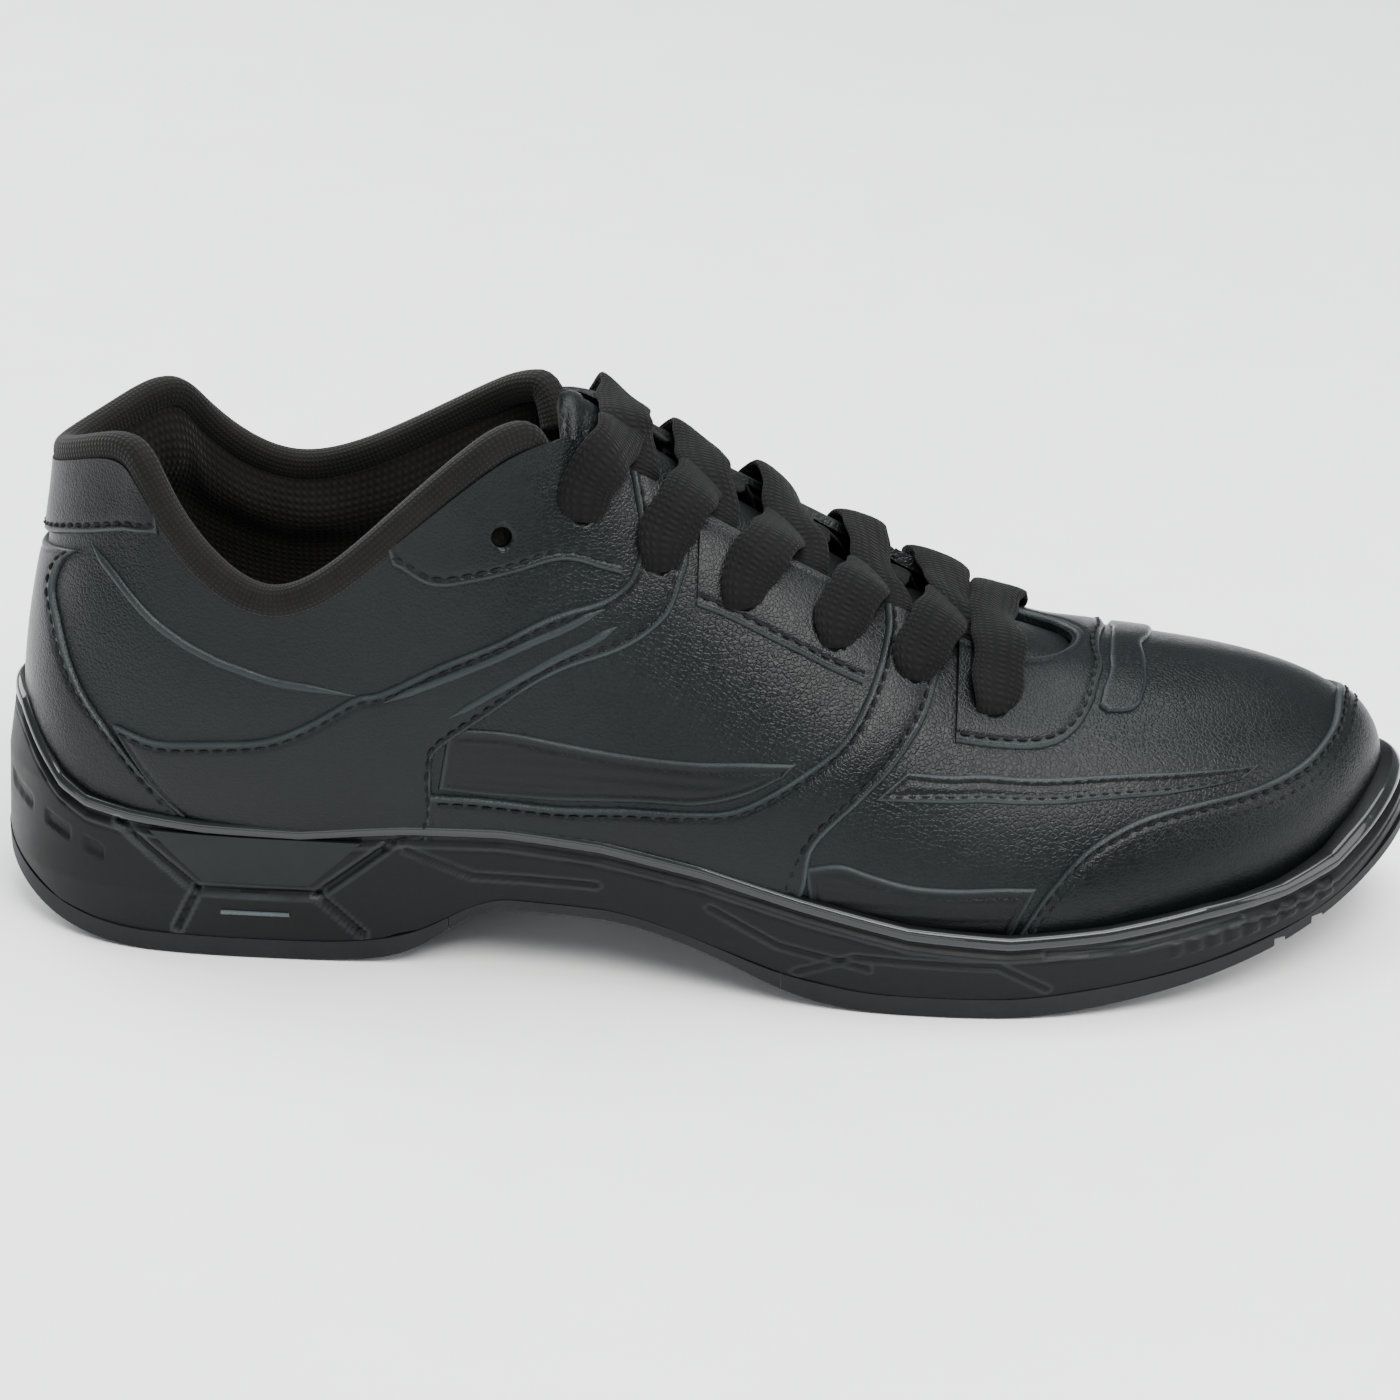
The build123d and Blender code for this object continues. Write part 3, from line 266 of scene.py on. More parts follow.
# (widest line x, y; rim x, y, z; bulge out; height of the bulge; reach of the top; drop of the top)
SECTIONS = [
    (4.6, 0, 13.5, 0, 102.5, 3, 34, 0, 22),
    (11, -18.5, 21.5, -14, 108, 4.5, 34, 0, 22),
    (24, -28, 31, -22.5, 110.5, 5.1, 33, 0, 24),
    (39, -32, 39, -28.5, 99, 5.6, 28, 0, 22),
    (60, -34, 60, -33, 83, 6.1, 22, 0, 18),
    (84, -35, 85, -33, 98.5, 6.6, 25, 0.05, 22),
    (106, -36.5, 104, -28.5, 114.5, 6.6, 27, 0.12, 24),
    (124, -39.5, 117, -20.5, 116.5, 6.1, 27, 0.28, 18),
    (143, -43.5, 136, -15.5, 104.5, 5.6, 28, 0.38, 12),
    (166, -48.5, 164, -16, 89, 5.6, 27, 0.44, 9),
    (190, -51, 190, -15.5, 75.8, 5.1, 25, 0.48, 8),
    (213, -51, 211.5, -13, 66, 4.6, 24, 0.52, 7),
    (238, -46.5, 220.5, -9, 63.6, 4.1, 24, 0.56, 5.2),
    (262, -36, 223.3, -5.3, 63.2, 3.6, 25, 0.61, 4.2),
    (282.5, -19.5, 224.3, -2, 63, 3.2, 26, 0.64, 4.2),
    (295, 5, 224.6, 0.7, 63, 2.6, 26, 0.65, 4.2),
    (288, 25, 224.3, 3.4, 62.8, 3.2, 25, 0.64, 4.8),
    (271, 41, 223.3, 6.5, 62.4, 3.6, 24, 0.58, 5.4),
    (249, 50, 220.5, 10, 62.2, 3.6, 23, 0.55, 6.5),
    (222, 51, 211.5, 13.5, 64.2, 4.1, 24, 0.52, 8),
    (196, 47.5, 190, 15.5, 74.2, 4.6, 26, 0.46, 9),
    (168, 40, 164, 16, 88, 6.1, 30, 0.37, 12),
    (143, 34, 136, 15.5, 103.5, 7.6, 32, 0.30, 16),
    (124, 31.5, 118.5, 20.5, 111.5, 8.1, 33, 0.18, 20),
    (106, 31, 105, 28, 107, 7.6, 30, 0.08, 24),
    (84, 32, 85, 31.5, 95.5, 6.6, 27, 0, 24),
    (60, 32.5, 60, 31.5, 88, 6.1, 25, 0, 20),
    (39, 31.5, 41, 28, 99, 5.6, 28, 0, 22),
    (24, 27.5, 32.5, 22.5, 107.5, 5.1, 33, 0, 24),
    (11, 18.5, 22, 14, 104.5, 4.5, 34, 0, 22),
]
BOARD_LINE = [
    (0, 24), (30, 22.5), (100, 22), (125, 21.2), (145, 18.5), (160, 15.5), (185, 12), (215, 10.5),
    (245, 12), (265, 16), (280, 20.5), (292, 25), (300, 28)
]
SOLE_OUTLINE = [
    (0, 0), (6, -17.5), (20, -29), (45, -35), (80, -36.5), (115, -39.5), (150, -46.5), (185, -53),
    (215, -54), (245, -48.5), (272, -36), (290, -19), (300, 4), (294, 25), (278, 41), (253, 51.5),
    (225, 55), (200, 52), (170, 43), (140, 35.5), (110, 33), (80, 33.5), (45, 34), (20, 28.5), (6, 17.5)
]
RAND_LINE = [
    (-2, 50), (3, 48.5), (8, 43), (14, 37), (20, 34), (30, 32.6), (45, 31.5), (66, 31), (87, 33),
    (108, 33.7), (129, 32.6), (150, 29.6), (171, 24.8), (193, 20.5), (214, 18.9), (234, 20.2), (255, 22.8),
    (272, 24), (284, 26.5), (292, 30.5), (302, 36.5)
]
UNDERSIDE = [
    (-2, 14), (3, 8.7), (13, 3), (22, 0.9), (28, 0.2), (33, 0), (66, 0), (71, 0.1), (77, 0.5), (83, 1.4),
    (91, 4.8), (101, 12.2), (112, 15), (129, 15), (142, 12.9), (155, 8.6), (167, 3.6), (176, 1.2),
    (184, 0.2), (189, 0), (212, 0), (217, 0.2), (225, 1), (235, 2.5), (256, 6.7), (277, 13), (285, 16.3),
    (292, 19.8), (302, 25)
]
TREAD_DEPTH = [(0, 4.5), (86, 4.5), (101, 2.2), (152, 2.2), (175, 4.5), (230, 4.5), (285, 2.2), (302, 2.2)]
CUP_OUTSIDE = [(0, 1.2), (14, 0), (34, 0.6), (54, 3.6)]
EDGE_TUCK, OVERLAY, THIN_OVERLAY = 2.8, 1.1, 0.7


def along(line, x):
    return np.interp(x, [p[0] for p in line], [p[1] for p in line])


def unit(vectors):
    return vectors / np.linalg.norm(vectors, axis=-1)[..., None]


def run_length(points, axis=0):
    "distance along a path, or along one direction of a grid, at each of its points"
    steps = np.cumsum(np.linalg.norm(np.diff(points, axis=axis), axis=-1), axis)
    return np.concatenate([np.zeros_like(steps.take([0], axis)), steps], axis)


def fade(value, start, end):
    "1 up to start, falling smoothly to 0 at end"
    f = np.clip((value - start) / (end - start), 0, 1)
    return 1 - f * f * (3 - 2 * f)


def cyclic_spline(values):
    "smooth closed curve through the values, as a function of the share of the way round"
    values = np.array(values, float)
    count = len(values)
    matrix = 4 * np.eye(count) + np.roll(np.eye(count), 1, 0) + np.roll(np.eye(count), -1, 0)
    slopes = np.linalg.solve(matrix, 3 * (np.roll(values, -1, 0) - np.roll(values, 1, 0)))

    def at(share):
        place = (np.asarray(share, float) % 1.0) * count
        i = np.floor(place).astype(int) % count
        j = (i + 1) % count
        f = (place - np.floor(place))[..., None]
        return ((1 + 2 * f) * (1 - f) ** 2 * values[i] + f * (1 - f) ** 2 * slopes[i]
                + f * f * (3 - 2 * f) * values[j] + f * f * (f - 1) * slopes[j])

    return at


def outward_in_plan(ring):
    tangent = np.roll(ring, -1, 0) - np.roll(ring, 1, 0)
    return unit(np.stack([tangent[:, 1], -tangent[:, 0]], 1))


def section_controls():
    table = np.array(SECTIONS, float)
    normal = outward_in_plan(table[:, :2])
    sets = [[], [], [], []]
    for row, n in zip(table, normal):
        x, y, rim_x, rim_y, rim_z, out, rise, reach, drop = row
        board = along(BOARD_LINE, x)
        side_lean = 0.3 * out if reach < 0.2 else 0.0
        foot = (x - n[0] * EDGE_TUCK, y - n[1] * EDGE_TUCK, board)
        low = (x + n[0] * out, y + n[1] * out, board + rise)
        high = (rim_x + (x - rim_x) * reach + n[0] * side_lean,
                rim_y + (y - rim_y) * reach + n[1] * side_lean, rim_z - drop)
        for group, corner in zip(sets, (foot, low, high, (rim_x, rim_y, rim_z))):
            group.append((corner[0] - HALF_LENGTH, corner[1], corner[2]))
    return [cyclic_spline(group) for group in sets]


CONTROLS = section_controls()


def surface(s, t):
    foot, low, high, rim = [control(s) for control in CONTROLS]
    t = np.asarray(t, float)[..., None]
    return (1 - t) ** 3 * foot + 3 * t * (1 - t) ** 2 * low + 3 * t * t * (1 - t) * high + t ** 3 * rim


def outward(s, t, step=0.001):
    s, t = np.asarray(s, float), np.asarray(t, float)
    round_shoe, up = surface(s + step, t) - surface(s - step, t), surface(s, t + step) - surface(s, t - step)
    return unit(np.cross(round_shoe, up))


def lifted(s, t, height):
    return surface(s, t) + np.asarray(height, float)[..., None] * outward(s, t)


coarse_s, coarse_t = np.meshgrid(np.arange(121) / 240, np.arange(25) / 24, indexing="ij")
coarse_s, coarse_t = coarse_s.ravel(), coarse_t.ravel()
coarse_points = surface(coarse_s, coarse_t)


def on_side(x, z):
    "place (s, t) on the outer side with this distance from the heel and height; places pass through"
    if max(x, z) < 1:
        return x, z
    wanted = np.array([x - HALF_LENGTH, z])
    start = np.argmin(np.hypot(coarse_points[:, 0] - wanted[0], coarse_points[:, 2] - wanted[1]))
    s, t = coarse_s[start], coarse_t[start]
    step = 1e-4
    for _ in range(12):
        here = surface(s, t)[[0, 2]]
        along_s = (surface(s + step, t)[[0, 2]] - here) / step
        along_t = (surface(s, t + step)[[0, 2]] - here) / step
        move = np.linalg.solve(np.stack([along_s, along_t], 1), wanted - here)
        s = s + np.clip(move[0], -0.02, 0.02)
        t = min(max(t + np.clip(move[1], -0.02, 0.02), 0.0), 1.0)
    return float(s), float(t)


def curve_at(points, places):
    "Catmull-Rom curve through points, at places counted in points"
    points = np.array(points, float)
    padded = np.vstack([2 * points[0] - points[1], points, 2 * points[-1] - points[-2]])
    places = np.clip(np.asarray(places, float), 0, len(points) - 1 - 1e-9)
    i = np.floor(places).astype(int)
    f = (places - i)[:, None]
    a, b, c, d = padded[i], padded[i + 1], padded[i + 2], padded[i + 3]
    return 0.5 * (2 * b + (c - a) * f + (2 * a - 5 * b + 4 * c - d) * f ** 2
                  + (3 * b - a - 3 * c + d) * f ** 3)


def sampled(points, count):
    "curve through points at evenly spread places"
    return curve_at(points, np.linspace(0, len(points) - 1, count))


def refined(length, pitch):
    "shares of a length with close steps near both ends, for rounded edges"
    ends = np.array([0.0, 0.12, 0.3, 0.55, 0.85, 1.2, 1.5, 1.75, 2.0, 2.3, 2.7])
    ends = ends[ends < length * 0.42]
    middle = np.arange(ends[-1] + pitch, length - ends[-1] - pitch / 2, pitch)
    return np.concatenate([ends, middle, (length - ends)[::-1]]) / length


# ---- meshes -----------------------------------------------------------------------------------

def make_object(name, points, faces, material, body="shoe", uv=None,
                smooth_angle=50, second=None, weld=False):
    "mesh object in metres; second is (material, faces that take it), weld joins points in one place"
    mesh = bpy.data.meshes.new(name)
    mesh.from_pydata([tuple(p) for p in np.asarray(points) * 0.001], [], faces)
    mesh.materials.append(material)
    if uv is not None:
        layer = mesh.uv_layers.new(name="flat")
        corners = np.zeros(len(mesh.loops), int)
        mesh.loops.foreach_get("vertex_index", corners)
        layer.data.foreach_set("uv", (np.asarray(uv)[corners] * 0.001).ravel())
    if second is not None:
        mesh.materials.append(second[0])
        for number in second[1]:
            mesh.polygons[number].material_index = 1
    mesh.shade_smooth()
    mesh.set_sharp_from_angle(angle=math.radians(smooth_angle))
    piece = bpy.data.objects.new(name, mesh)
    scene.collection.objects.link(piece)
    work = bmesh.new()
    work.from_mesh(mesh)
    if weld:
        bmesh.ops.remove_doubles(work, verts=work.verts, dist=1e-6)
    bmesh.ops.recalc_face_normals(work, faces=work.faces)
    work.to_mesh(mesh)
    work.free()
    if body:
        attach(piece, body)
    return piece


def grid_faces(rows, columns, start=0, flip=False, close=False):
    faces = []
    for i in range(rows if close else rows - 1):
        for j in range(columns - 1):
            a = start + i * columns + j
            b = start + ((i + 1) % rows) * columns + j
            faces.append((a, a + 1, b + 1, b) if flip else (a, b, b + 1, a + 1))
    return faces


def ring_faces(rings, corners, start=0):
    "faces of a closed tube of rings with flat ends"
    faces = []
    for k in range(start, start + (rings - 1) * corners, corners):
        faces += [(k + c, k + (c + 1) % corners, k + corners + (c + 1) % corners, k + corners + c)
                  for c in range(corners)]
    faces.append(tuple(start + c for c in reversed(range(corners))))
    faces.append(tuple(start + (rings - 1) * corners + c for c in range(corners)))
    return faces


def path_frame(centres, normals):
    "outward and sideways directions square to a path"
    tangent = unit(np.gradient(centres, axis=0))
    normals = unit(normals - (normals * tangent).sum(1)[:, None] * tangent)
    return normals, np.cross(tangent, normals)


def mark_painted_highlight(piece, top, below):
    "how rubbed each point is, for rub_edges; the points below the visible side aren't"
    highlight_layer = piece.data.attributes.new("painted_highlight", "FLOAT", "POINT")
    highlight_layer.data.foreach_set("value", np.concatenate([top.ravel(), np.zeros(below)]).astype(np.float32))


def grid_uv(points):
    "flat coordinates of a grid, in millimetres along its two directions"
    u, v = run_length(points).mean(1), run_length(points, 1).mean(0)
    return np.stack(np.meshgrid(u, v, indexing="ij"), -1).reshape(-1, 2)


def shell(name, top, bottom, material, body="shoe", second=None, angle=50, painted_highlight=None):
    """closed mesh between two grids of points, with paler painted highlight along the edges that the last
    argument marks
    """
    m, n = top.shape[:2]
    points = np.vstack([top.reshape(-1, 3), bottom.reshape(-1, 3)])
    faces = grid_faces(m, n) + grid_faces(m, n, m * n, True)
    border = ([(i, 0) for i in range(m)] + [(m - 1, j) for j in range(1, n)]
              + [(i, n - 1) for i in range(m - 2, -1, -1)] + [(0, j) for j in range(n - 2, 0, -1)])
    ring = [i * n + j for i, j in border]
    for a, b in zip(ring, ring[1:] + ring[:1]):
        faces.append((a, b, b + m * n, a + m * n))
    uv = np.vstack([grid_uv(top), grid_uv(top)])
    lower = (second, range((m - 1) * (n - 1), 2 * (m - 1) * (n - 1))) if second else None
    piece = make_object(name, points, faces, material, body, uv, angle, lower)
    if painted_highlight is not None:
        mark_painted_highlight(piece, painted_highlight, m * n)
    return piece


def edge_distance(points, ends=(True, True, True, True)):
    "distance along a grid to its nearest edge; ends says which of first, last row and column count"
    down, across = run_length(points), run_length(points, 1)
    options = [down, down[-1:] - down, across, across[:, -1:] - across]
    chosen = [option for option, use in zip(options, ends) if use]
    return np.min(chosen, axis=0)


def rounded(distance, height, radius=1.1, puff=0.25, stitched=True):
    "height of a sewn-on piece: rounded edge, slight fullness, and a furrow under the stitches"
    rim = np.clip(distance / radius, 0, 1)
    level = -0.35 + (height + 0.35) * np.sqrt(1 - (1 - rim) ** 2)
    level = level + puff * (1 - np.exp(-distance / 5.0))
    if stitched:
        level = level - 0.30 * np.exp(-((distance - 2.0) / 0.5) ** 2)
    return level


def punch(piece, holes, medial):
    "cut lace holes with one boolean"
    points, faces = [], []
    for number in holes:
        s, t = HOLE_PLACES[number]
        s = 1 - s if medial else s
        centre, normal = surface(s, t), outward(s, t)
        side = unit(np.cross(normal, [0, 0, 1.0]))
        up = np.cross(side, normal)
        faces += ring_faces(2, HOLE_CORNERS, len(points))
        for depth in (-6.0, 7.0):
            for k in range(HOLE_CORNERS):
                angle = 2 * math.pi * k / HOLE_CORNERS
                points.append(centre + depth * normal
                              + HOLE_RADIUS * (math.cos(angle) * side + math.sin(angle) * up))
    cutter = make_object("cutter", points, faces, COATED, body=None)
    cut = piece.modifiers.new("punch", "BOOLEAN")
    cut.operation = "DIFFERENCE"
    cut.solver = "EXACT"
    cut.object = cutter
    graph = bpy.context.evaluated_depsgraph_get()
    done = bpy.data.meshes.new_from_object(piece.evaluated_get(graph))
    piece.modifiers.clear()
    piece.data = done
    bpy.data.objects.remove(cutter)


HOLE_RADIUS, HOLE_CORNERS = 2.2, 24
LACE_HOLES = [
    (107.5, 96.2), (123.6, 99.1), (140.4, 88.7), (157.1, 81.3), (176.3, 73.3), (192.6, 66.1), (209.5, 58.8)
]
HOLE_PLACES = [on_side(x, z) for x, z in LACE_HOLES]


def seam_pair(pairs, medial):
    first = np.array([on_side(*a) for a, b in pairs])
    second = np.array([on_side(*b) for a, b in pairs])
    if medial:
        first[:, 0], second[:, 0] = 1 - first[:, 0], 1 - second[:, 0]
    return first, second


def panel(name, first, second, height, material, nodes, holes=(), medial=False, ends=(True, True, True, True),
          texture=None, pitch=1.6, radius=1.1, puff=0.25, stitched=True):
    "raised piece between two seams given as places on the surface"
    count = len(first)
    rough = np.linspace(0, count - 1, 12 * count)
    steps = run_length(surface(*(0.5 * (curve_at(first, rough) + curve_at(second, rough))).T))
    places = np.interp(refined(steps[-1], pitch) * steps[-1], steps, rough)
    a, b = curve_at(first, places), curve_at(second, places)
    widths = np.linalg.norm(surface(*a.T) - surface(*b.T), axis=1)
    across = refined(float(np.median(widths)), pitch)
    grid = a[:, None] + (b - a)[:, None] * across[None, :, None]
    s, t = grid[..., 0], grid[..., 1]
    base = surface(s, t)
    distance = edge_distance(base, ends)
    level = rounded(distance, height, radius, puff, stitched)
    if texture is not None:
        level = level + texture(base, distance)
    # a band half a millimetre in from each edge is painted paler: painted highlight where the cut edge
    # catches the light
    piece = shell(name, lifted(s, t, level), lifted(s, t, -0.5), material,
                  painted_highlight=0.9 * np.exp(-((distance - 0.5) / 0.45) ** 2))
    if len(holes):
        punch(piece, holes, medial)
    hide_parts(*nodes)
    return piece


# ---- stitches and embossed lines --------------------------------------------------------------

# (share of the thread's radius, height) along one stitch
STITCH_FORM = [(0.35, -0.22), (0.9, 0.0), (1.0, 0.08), (0.9, 0.0), (0.35, -0.22)]
STITCH_CORNERS = 6


def stitch_row(places, height, inset_toward, inset=1.9, length=2.3, gap=0.75, radius=0.34):
    "points and faces of a row of stitches beside a seam, on the side of another seam"
    run, other = sampled(places, 30 * len(places)), sampled(inset_toward, 30 * len(places))
    reach = np.linalg.norm(surface(*other.T) - surface(*run.T), axis=1)
    run = run + (other - run) * (inset / np.maximum(reach, inset * 1.2))[:, None]
    path, normals = lifted(*run.T, height), outward(*run.T)
    steps = run_length(path)
    points, faces = [], []
    begin = gap
    while begin + length < steps[-1]:
        spots = np.linspace(begin, begin + length, len(STITCH_FORM))
        centres = np.stack([np.interp(spots, steps, path[:, k]) for k in range(3)], 1)
        normal = np.stack([np.interp(spots, steps, normals[:, k]) for k in range(3)], 1)
        side = np.cross(unit(np.gradient(centres, axis=0)), normal)
        faces += ring_faces(len(STITCH_FORM), STITCH_CORNERS, len(points))
        for k, (size, rise) in enumerate(STITCH_FORM):
            for corner in range(STITCH_CORNERS):
                angle = 2 * math.pi * corner / STITCH_CORNERS
                points.append(centres[k] + rise * normal[k] + radius * size * (
                    math.cos(angle) * side[k] + 0.8 * math.sin(angle) * normal[k]))
        begin += length + gap
    return points, faces


class Strands:
    "collects stitch rows or laces into one piece"

    def __init__(self):
        self.points, self.faces, self.uv = [], [], []

    def add(self, rows):
        points, faces, *uv = rows
        shift = len(self.points)
        self.points += points
        self.faces += [tuple(shift + k for k in face) for face in faces]
        self.uv += sum(uv, [])

    def finish(self, name, material):
        return make_object(name, self.points, self.faces, material, uv=self.uv or None)


def tube(name, centres, normals, shape, material, body="shoe"):
    "closed tube: shape is a list of (sideways, outward) corners or a function of the place"
    centres = np.array(centres, float)
    normals, side = path_frame(centres, normals)
    steps = run_length(centres)
    points, uv = [], []
    for k in range(len(centres)):
        corners = shape(k / (len(centres) - 1)) if callable(shape) else shape
        around = 0.0
        for c, (a, b) in enumerate(corners):
            points.append(centres[k] + a * side[k] + b * normals[k])
            uv.append((steps[k], around))
            after = corners[(c + 1) % len(corners)]
            around += math.hypot(after[0] - a, after[1] - b)
    return make_object(name, points, ring_faces(len(centres), len(corners)), material, body, uv)


def oval(width, height, corners, power=2.0):
    "corners of an oval; a higher power makes it squarer"
    shape = []
    for k in range(corners):
        angle = 2 * math.pi * k / corners
        a, b = math.cos(angle), math.sin(angle)
        shape.append((0.5 * width * math.copysign(abs(a) ** (2 / power), a),
                      0.5 * height * math.copysign(abs(b) ** (2 / power), b)))
    return shape


def ridge(name, points, width, height, medial, level=0.0):
    """embossed line that follows the surface, in a paler leather that paints its highlight"""
    places = np.array([on_side(*p) for p in points])
    if medial:
        places[:, 0] = 1 - places[:, 0]
    run = sampled(places, 14 * len(places))

    def shape(f):
        taper = min(1.0, 8 * f + 0.15, 8 * (1 - f) + 0.15)
        return oval(width * taper, height * taper, 10)

    return tube(name, lifted(*run.T, level), outward(*run.T), shape, EMBOSSED_HIGHLIGHT)


# ---- upper ------------------------------------------------------------------------------------

SIDES = [("lateral", False), ("medial", True)]
HEEL_OVERLAY_EDGE = [
    (46, 25.5), (43.6, 30.4), (38.7, 35.3), (33.4, 40.6), (28.2, 46.7), (23.9, 51.7), (20, 56.8),
    (16.8, 63.2), (14.7, 69.5), (13.3, 74.5), (15.1, 80.5), (19.5, 85.3)
]
REAR_STRIPE = [
    ((26.5, 51), (48, 25.5)), ((36.9, 49), (60, 25)), ((54, 50.8), (78, 25.5)), ((74.8, 60.4), (92.5, 30)),
    ((83.2, 63.5), (93.6, 44)), ((95, 69.5), (95.5, 51)), ((110, 75.9), (110, 62)),
    ((125, 81.5), (130, 71.5)), ((132.5, 85), (141, 78)), ((135.2, 90), (145, 86)),
    ((135.9, 93.4), (146, 90)), ((0.2625, 0.98), (0.2790, 0.98))
]
FRONT_STRIPE = [
    ((0.3285, 0.98), (0.3475, 0.98)), ((186.6, 73.3), (198.2, 65.7)), ((184, 65.5), (195.4, 58.8)),
    ((178.5, 56.5), (189.4, 51.1)), ((170, 50), (182.5, 44.7)), ((158, 43), (173.4, 35.5)),
    ((148, 41), (168, 22)), ((135, 40.4), (140, 23.5)), ((118, 39.3), (118, 25.5)),
    ((92.6, 40.2), (91, 26))
]
MIDDLE_FACING = [
    ((147.8, 80.8), (0.2810, 0.98)), ((154, 78.5), (0.2890, 0.98)), ((161, 75.3), (0.2970, 0.98)),
    ((169.3, 71.5), (0.3060, 0.98)), ((176, 68.3), (0.3150, 0.98)), ((182.2, 65.6), (0.3265, 0.98))
]
ANKLE_PANEL = [
    ((85.5, 90.5), (0.1660, 0.932)), ((93.3, 86.3), (0.1850, 0.932)), ((102, 86.8), (0.2000, 0.932)),
    ((111.6, 88.6), (0.2200, 0.932)), ((121.7, 90.1), (0.2360, 0.952)), ((127.9, 88.2), (0.2480, 0.975)),
    ((132.2, 87), (0.2605, 0.98))
]
VENT_PANEL = [
    ((97, 55.6), (94.8, 41.2)), ((105.1, 55.6), (105, 40.4)), ((118.1, 53.8), (118.2, 40.2)),
    ((128.7, 52.3), (128.7, 40.9)), ((139, 51.5), (139.2, 41.6)), ((149.3, 51.4), (149, 42.2)),
    ((159.6, 52), (158.5, 45)), ((169.5, 52), (166.5, 49.2))
]
FRONT_PANEL = [
    ((171.2, 31.3), (172.5, 22.5)), ((178.6, 32.4), (179, 19)), ((185, 30.6), (185, 16.5)),
    ((193, 28.6), (193, 14.5)), ((202, 28), (202, 13.5)), ((211.7, 28.2), (208, 13.5)),
    ((219.5, 28), (212.8, 14))
]
VAMP_STRIP = [
    ((191.8, 50.2), (185, 45)), ((200.8, 49.3), (200.8, 44.2)), ((211.2, 48.6), (211.2, 43.8)),
    ((231.9, 47.7), (231.9, 43.4)), ((250, 46.8), (248, 43.3)), ((266, 45.7), (262, 43.9))
]
TOE_CAP_EDGE = [
    (0.3695, 0.07), (0.3745, 0.17), (0.381, 0.26), (0.390, 0.345), (0.402, 0.395), (0.414, 0.412),
    (0.430, 0.402), (0.448, 0.375), (0.466, 0.36), (0.482, 0.375), (0.5, 0.41)
]
THROAT_EDGE = [
    (0.3500, 0.625), (0.364, 0.64), (0.378, 0.65), (0.387, 0.665), (0.397, 0.705), (0.410, 0.775),
    (0.424, 0.84), (0.445, 0.89), (0.467, 0.925), (0.5, 0.94)
]
TAB_EDGES = [
    ((0.414, 0.735), (0.4115, 0.762)), ((0.428, 0.722), (0.424, 0.822)), ((0.445, 0.772), (0.445, 0.874)),
    ((0.467, 0.83), (0.467, 0.909)), ((0.5, 0.87), (0.5, 0.925))
]
TAB_SEAM = [(0, 0.70), (0.045, 0.725), (0.062, 0.75), (0.080, 0.80), (0.096, 0.89)]
SECOND_CURVE = [
    (22.2, 87.6), (25.3, 84.6), (29.9, 80.4), (35.3, 75.6), (41.5, 71.5), (48.8, 68), (56.3, 65.6),
    (66.5, 63.6), (77.9, 62.2)
]
UPPER_SLOT = [(84, 61.5), (95, 66.2), (108, 71.6), (120, 76.6), (129, 80.6)]
LOWER_SLOT = [(97.5, 58.5), (106, 63.6), (116, 69.2), (125, 73.6), (131.5, 77.2)]

seams = {side: Strands() for side, medial in SIDES}


def vents(base, distance):
    "shallow ribs along the panel"
    inside = np.clip((distance - 2.6) / 1.2, 0, 1)
    return -0.28 * inside * (0.5 + 0.5 * np.cos(base[..., 2] * 2 * math.pi / 2.6))


def side_piece(name, stands_for, pairs, height, material, side, rows=(), **form):
    "raised piece on one side; rows are the seams and stretches of them that have stitches"
    medial = side == "medial"
    edges = seam_pair(pairs, medial)
    panel(name + "_" + side, *edges, height, material, [stands_for + "_" + side], medial=medial, **form)
    for edge, stretch in rows:
        seams[side].add(stitch_row(edges[edge][stretch], height + 0.1, edges[1 - edge][stretch]))


WHOLE = slice(None)
for side, medial in SIDES:
    side_piece("rear_stripe_cover", "rear_stripe", REAR_STRIPE, OVERLAY, COATED, side,
               [(0, WHOLE), (1, slice(2, None))], holes=[2], ends=(True, False, True, True))
    side_piece("front_stripe_cover", "front_stripe", FRONT_STRIPE, OVERLAY + 0.05, COATED, side,
               [(0, WHOLE), (1, slice(7))], holes=[5], ends=(False, True, True, True))
    side_piece("middle_facing_cover", "middle_facing", MIDDLE_FACING, OVERLAY - 0.05, COATED, side,
               [(0, WHOLE)], holes=[3, 4], ends=(False, False, True, True))
    side_piece("ankle_cover", "ankle_panel", ANKLE_PANEL, OVERLAY, COATED, side,
               [(0, WHOLE)], holes=[0, 1], ends=(True, False, True, False))
    side_piece("vent_cover", "vent_panel", VENT_PANEL, THIN_OVERLAY, RIBBED, side,
               texture=vents, pitch=0.8, puff=0.1)
    side_piece("forefoot_cover", "forefoot_panel", FRONT_PANEL, THIN_OVERLAY, RIBBED, side,
               texture=vents, pitch=0.8, puff=0.1)
    side_piece("vamp_strip_cover", "vamp_strip", VAMP_STRIP, THIN_OVERLAY, COATED, side,
               pitch=1.2, radius=0.8, puff=0.05)
    upper, lower = seam_pair(VAMP_STRIP, medial)
    for edge, other in ((upper, lower), (lower, upper)):
        seams[side].add(stitch_row(edge, THIN_OVERLAY - 0.05, other, 1.3, 2.0, 0.7, 0.3))
    ridge("heel_curve_" + side, SECOND_CURVE, 1.9, 1.3, medial)
    ridge("slot_upper_" + side, UPPER_SLOT, 1.7, 1.0, medial, OVERLAY + 0.15)
    ridge("slot_lower_" + side, LOWER_SLOT, 1.7, 1.0, medial, OVERLAY + 0.15)

# Filler of the seam between the quarter and the vamp.
for side, medial in SIDES:
    s, t = np.meshgrid(np.linspace(0.3303, 0.3332, 8), np.linspace(0.02, 0.97, 120), indexing="ij")
    s = 1 - s if medial else s
    filler = shell("vamp_seam_" + side, lifted(s, t, 0.05), lifted(s, t, -1.2), BASE)


def both_halves(edge):
    "an edge given on the outer half, carried over to the inner half"
    return np.array(list(edge) + [(1 - s, t) for s, t in reversed(edge[:-1])])


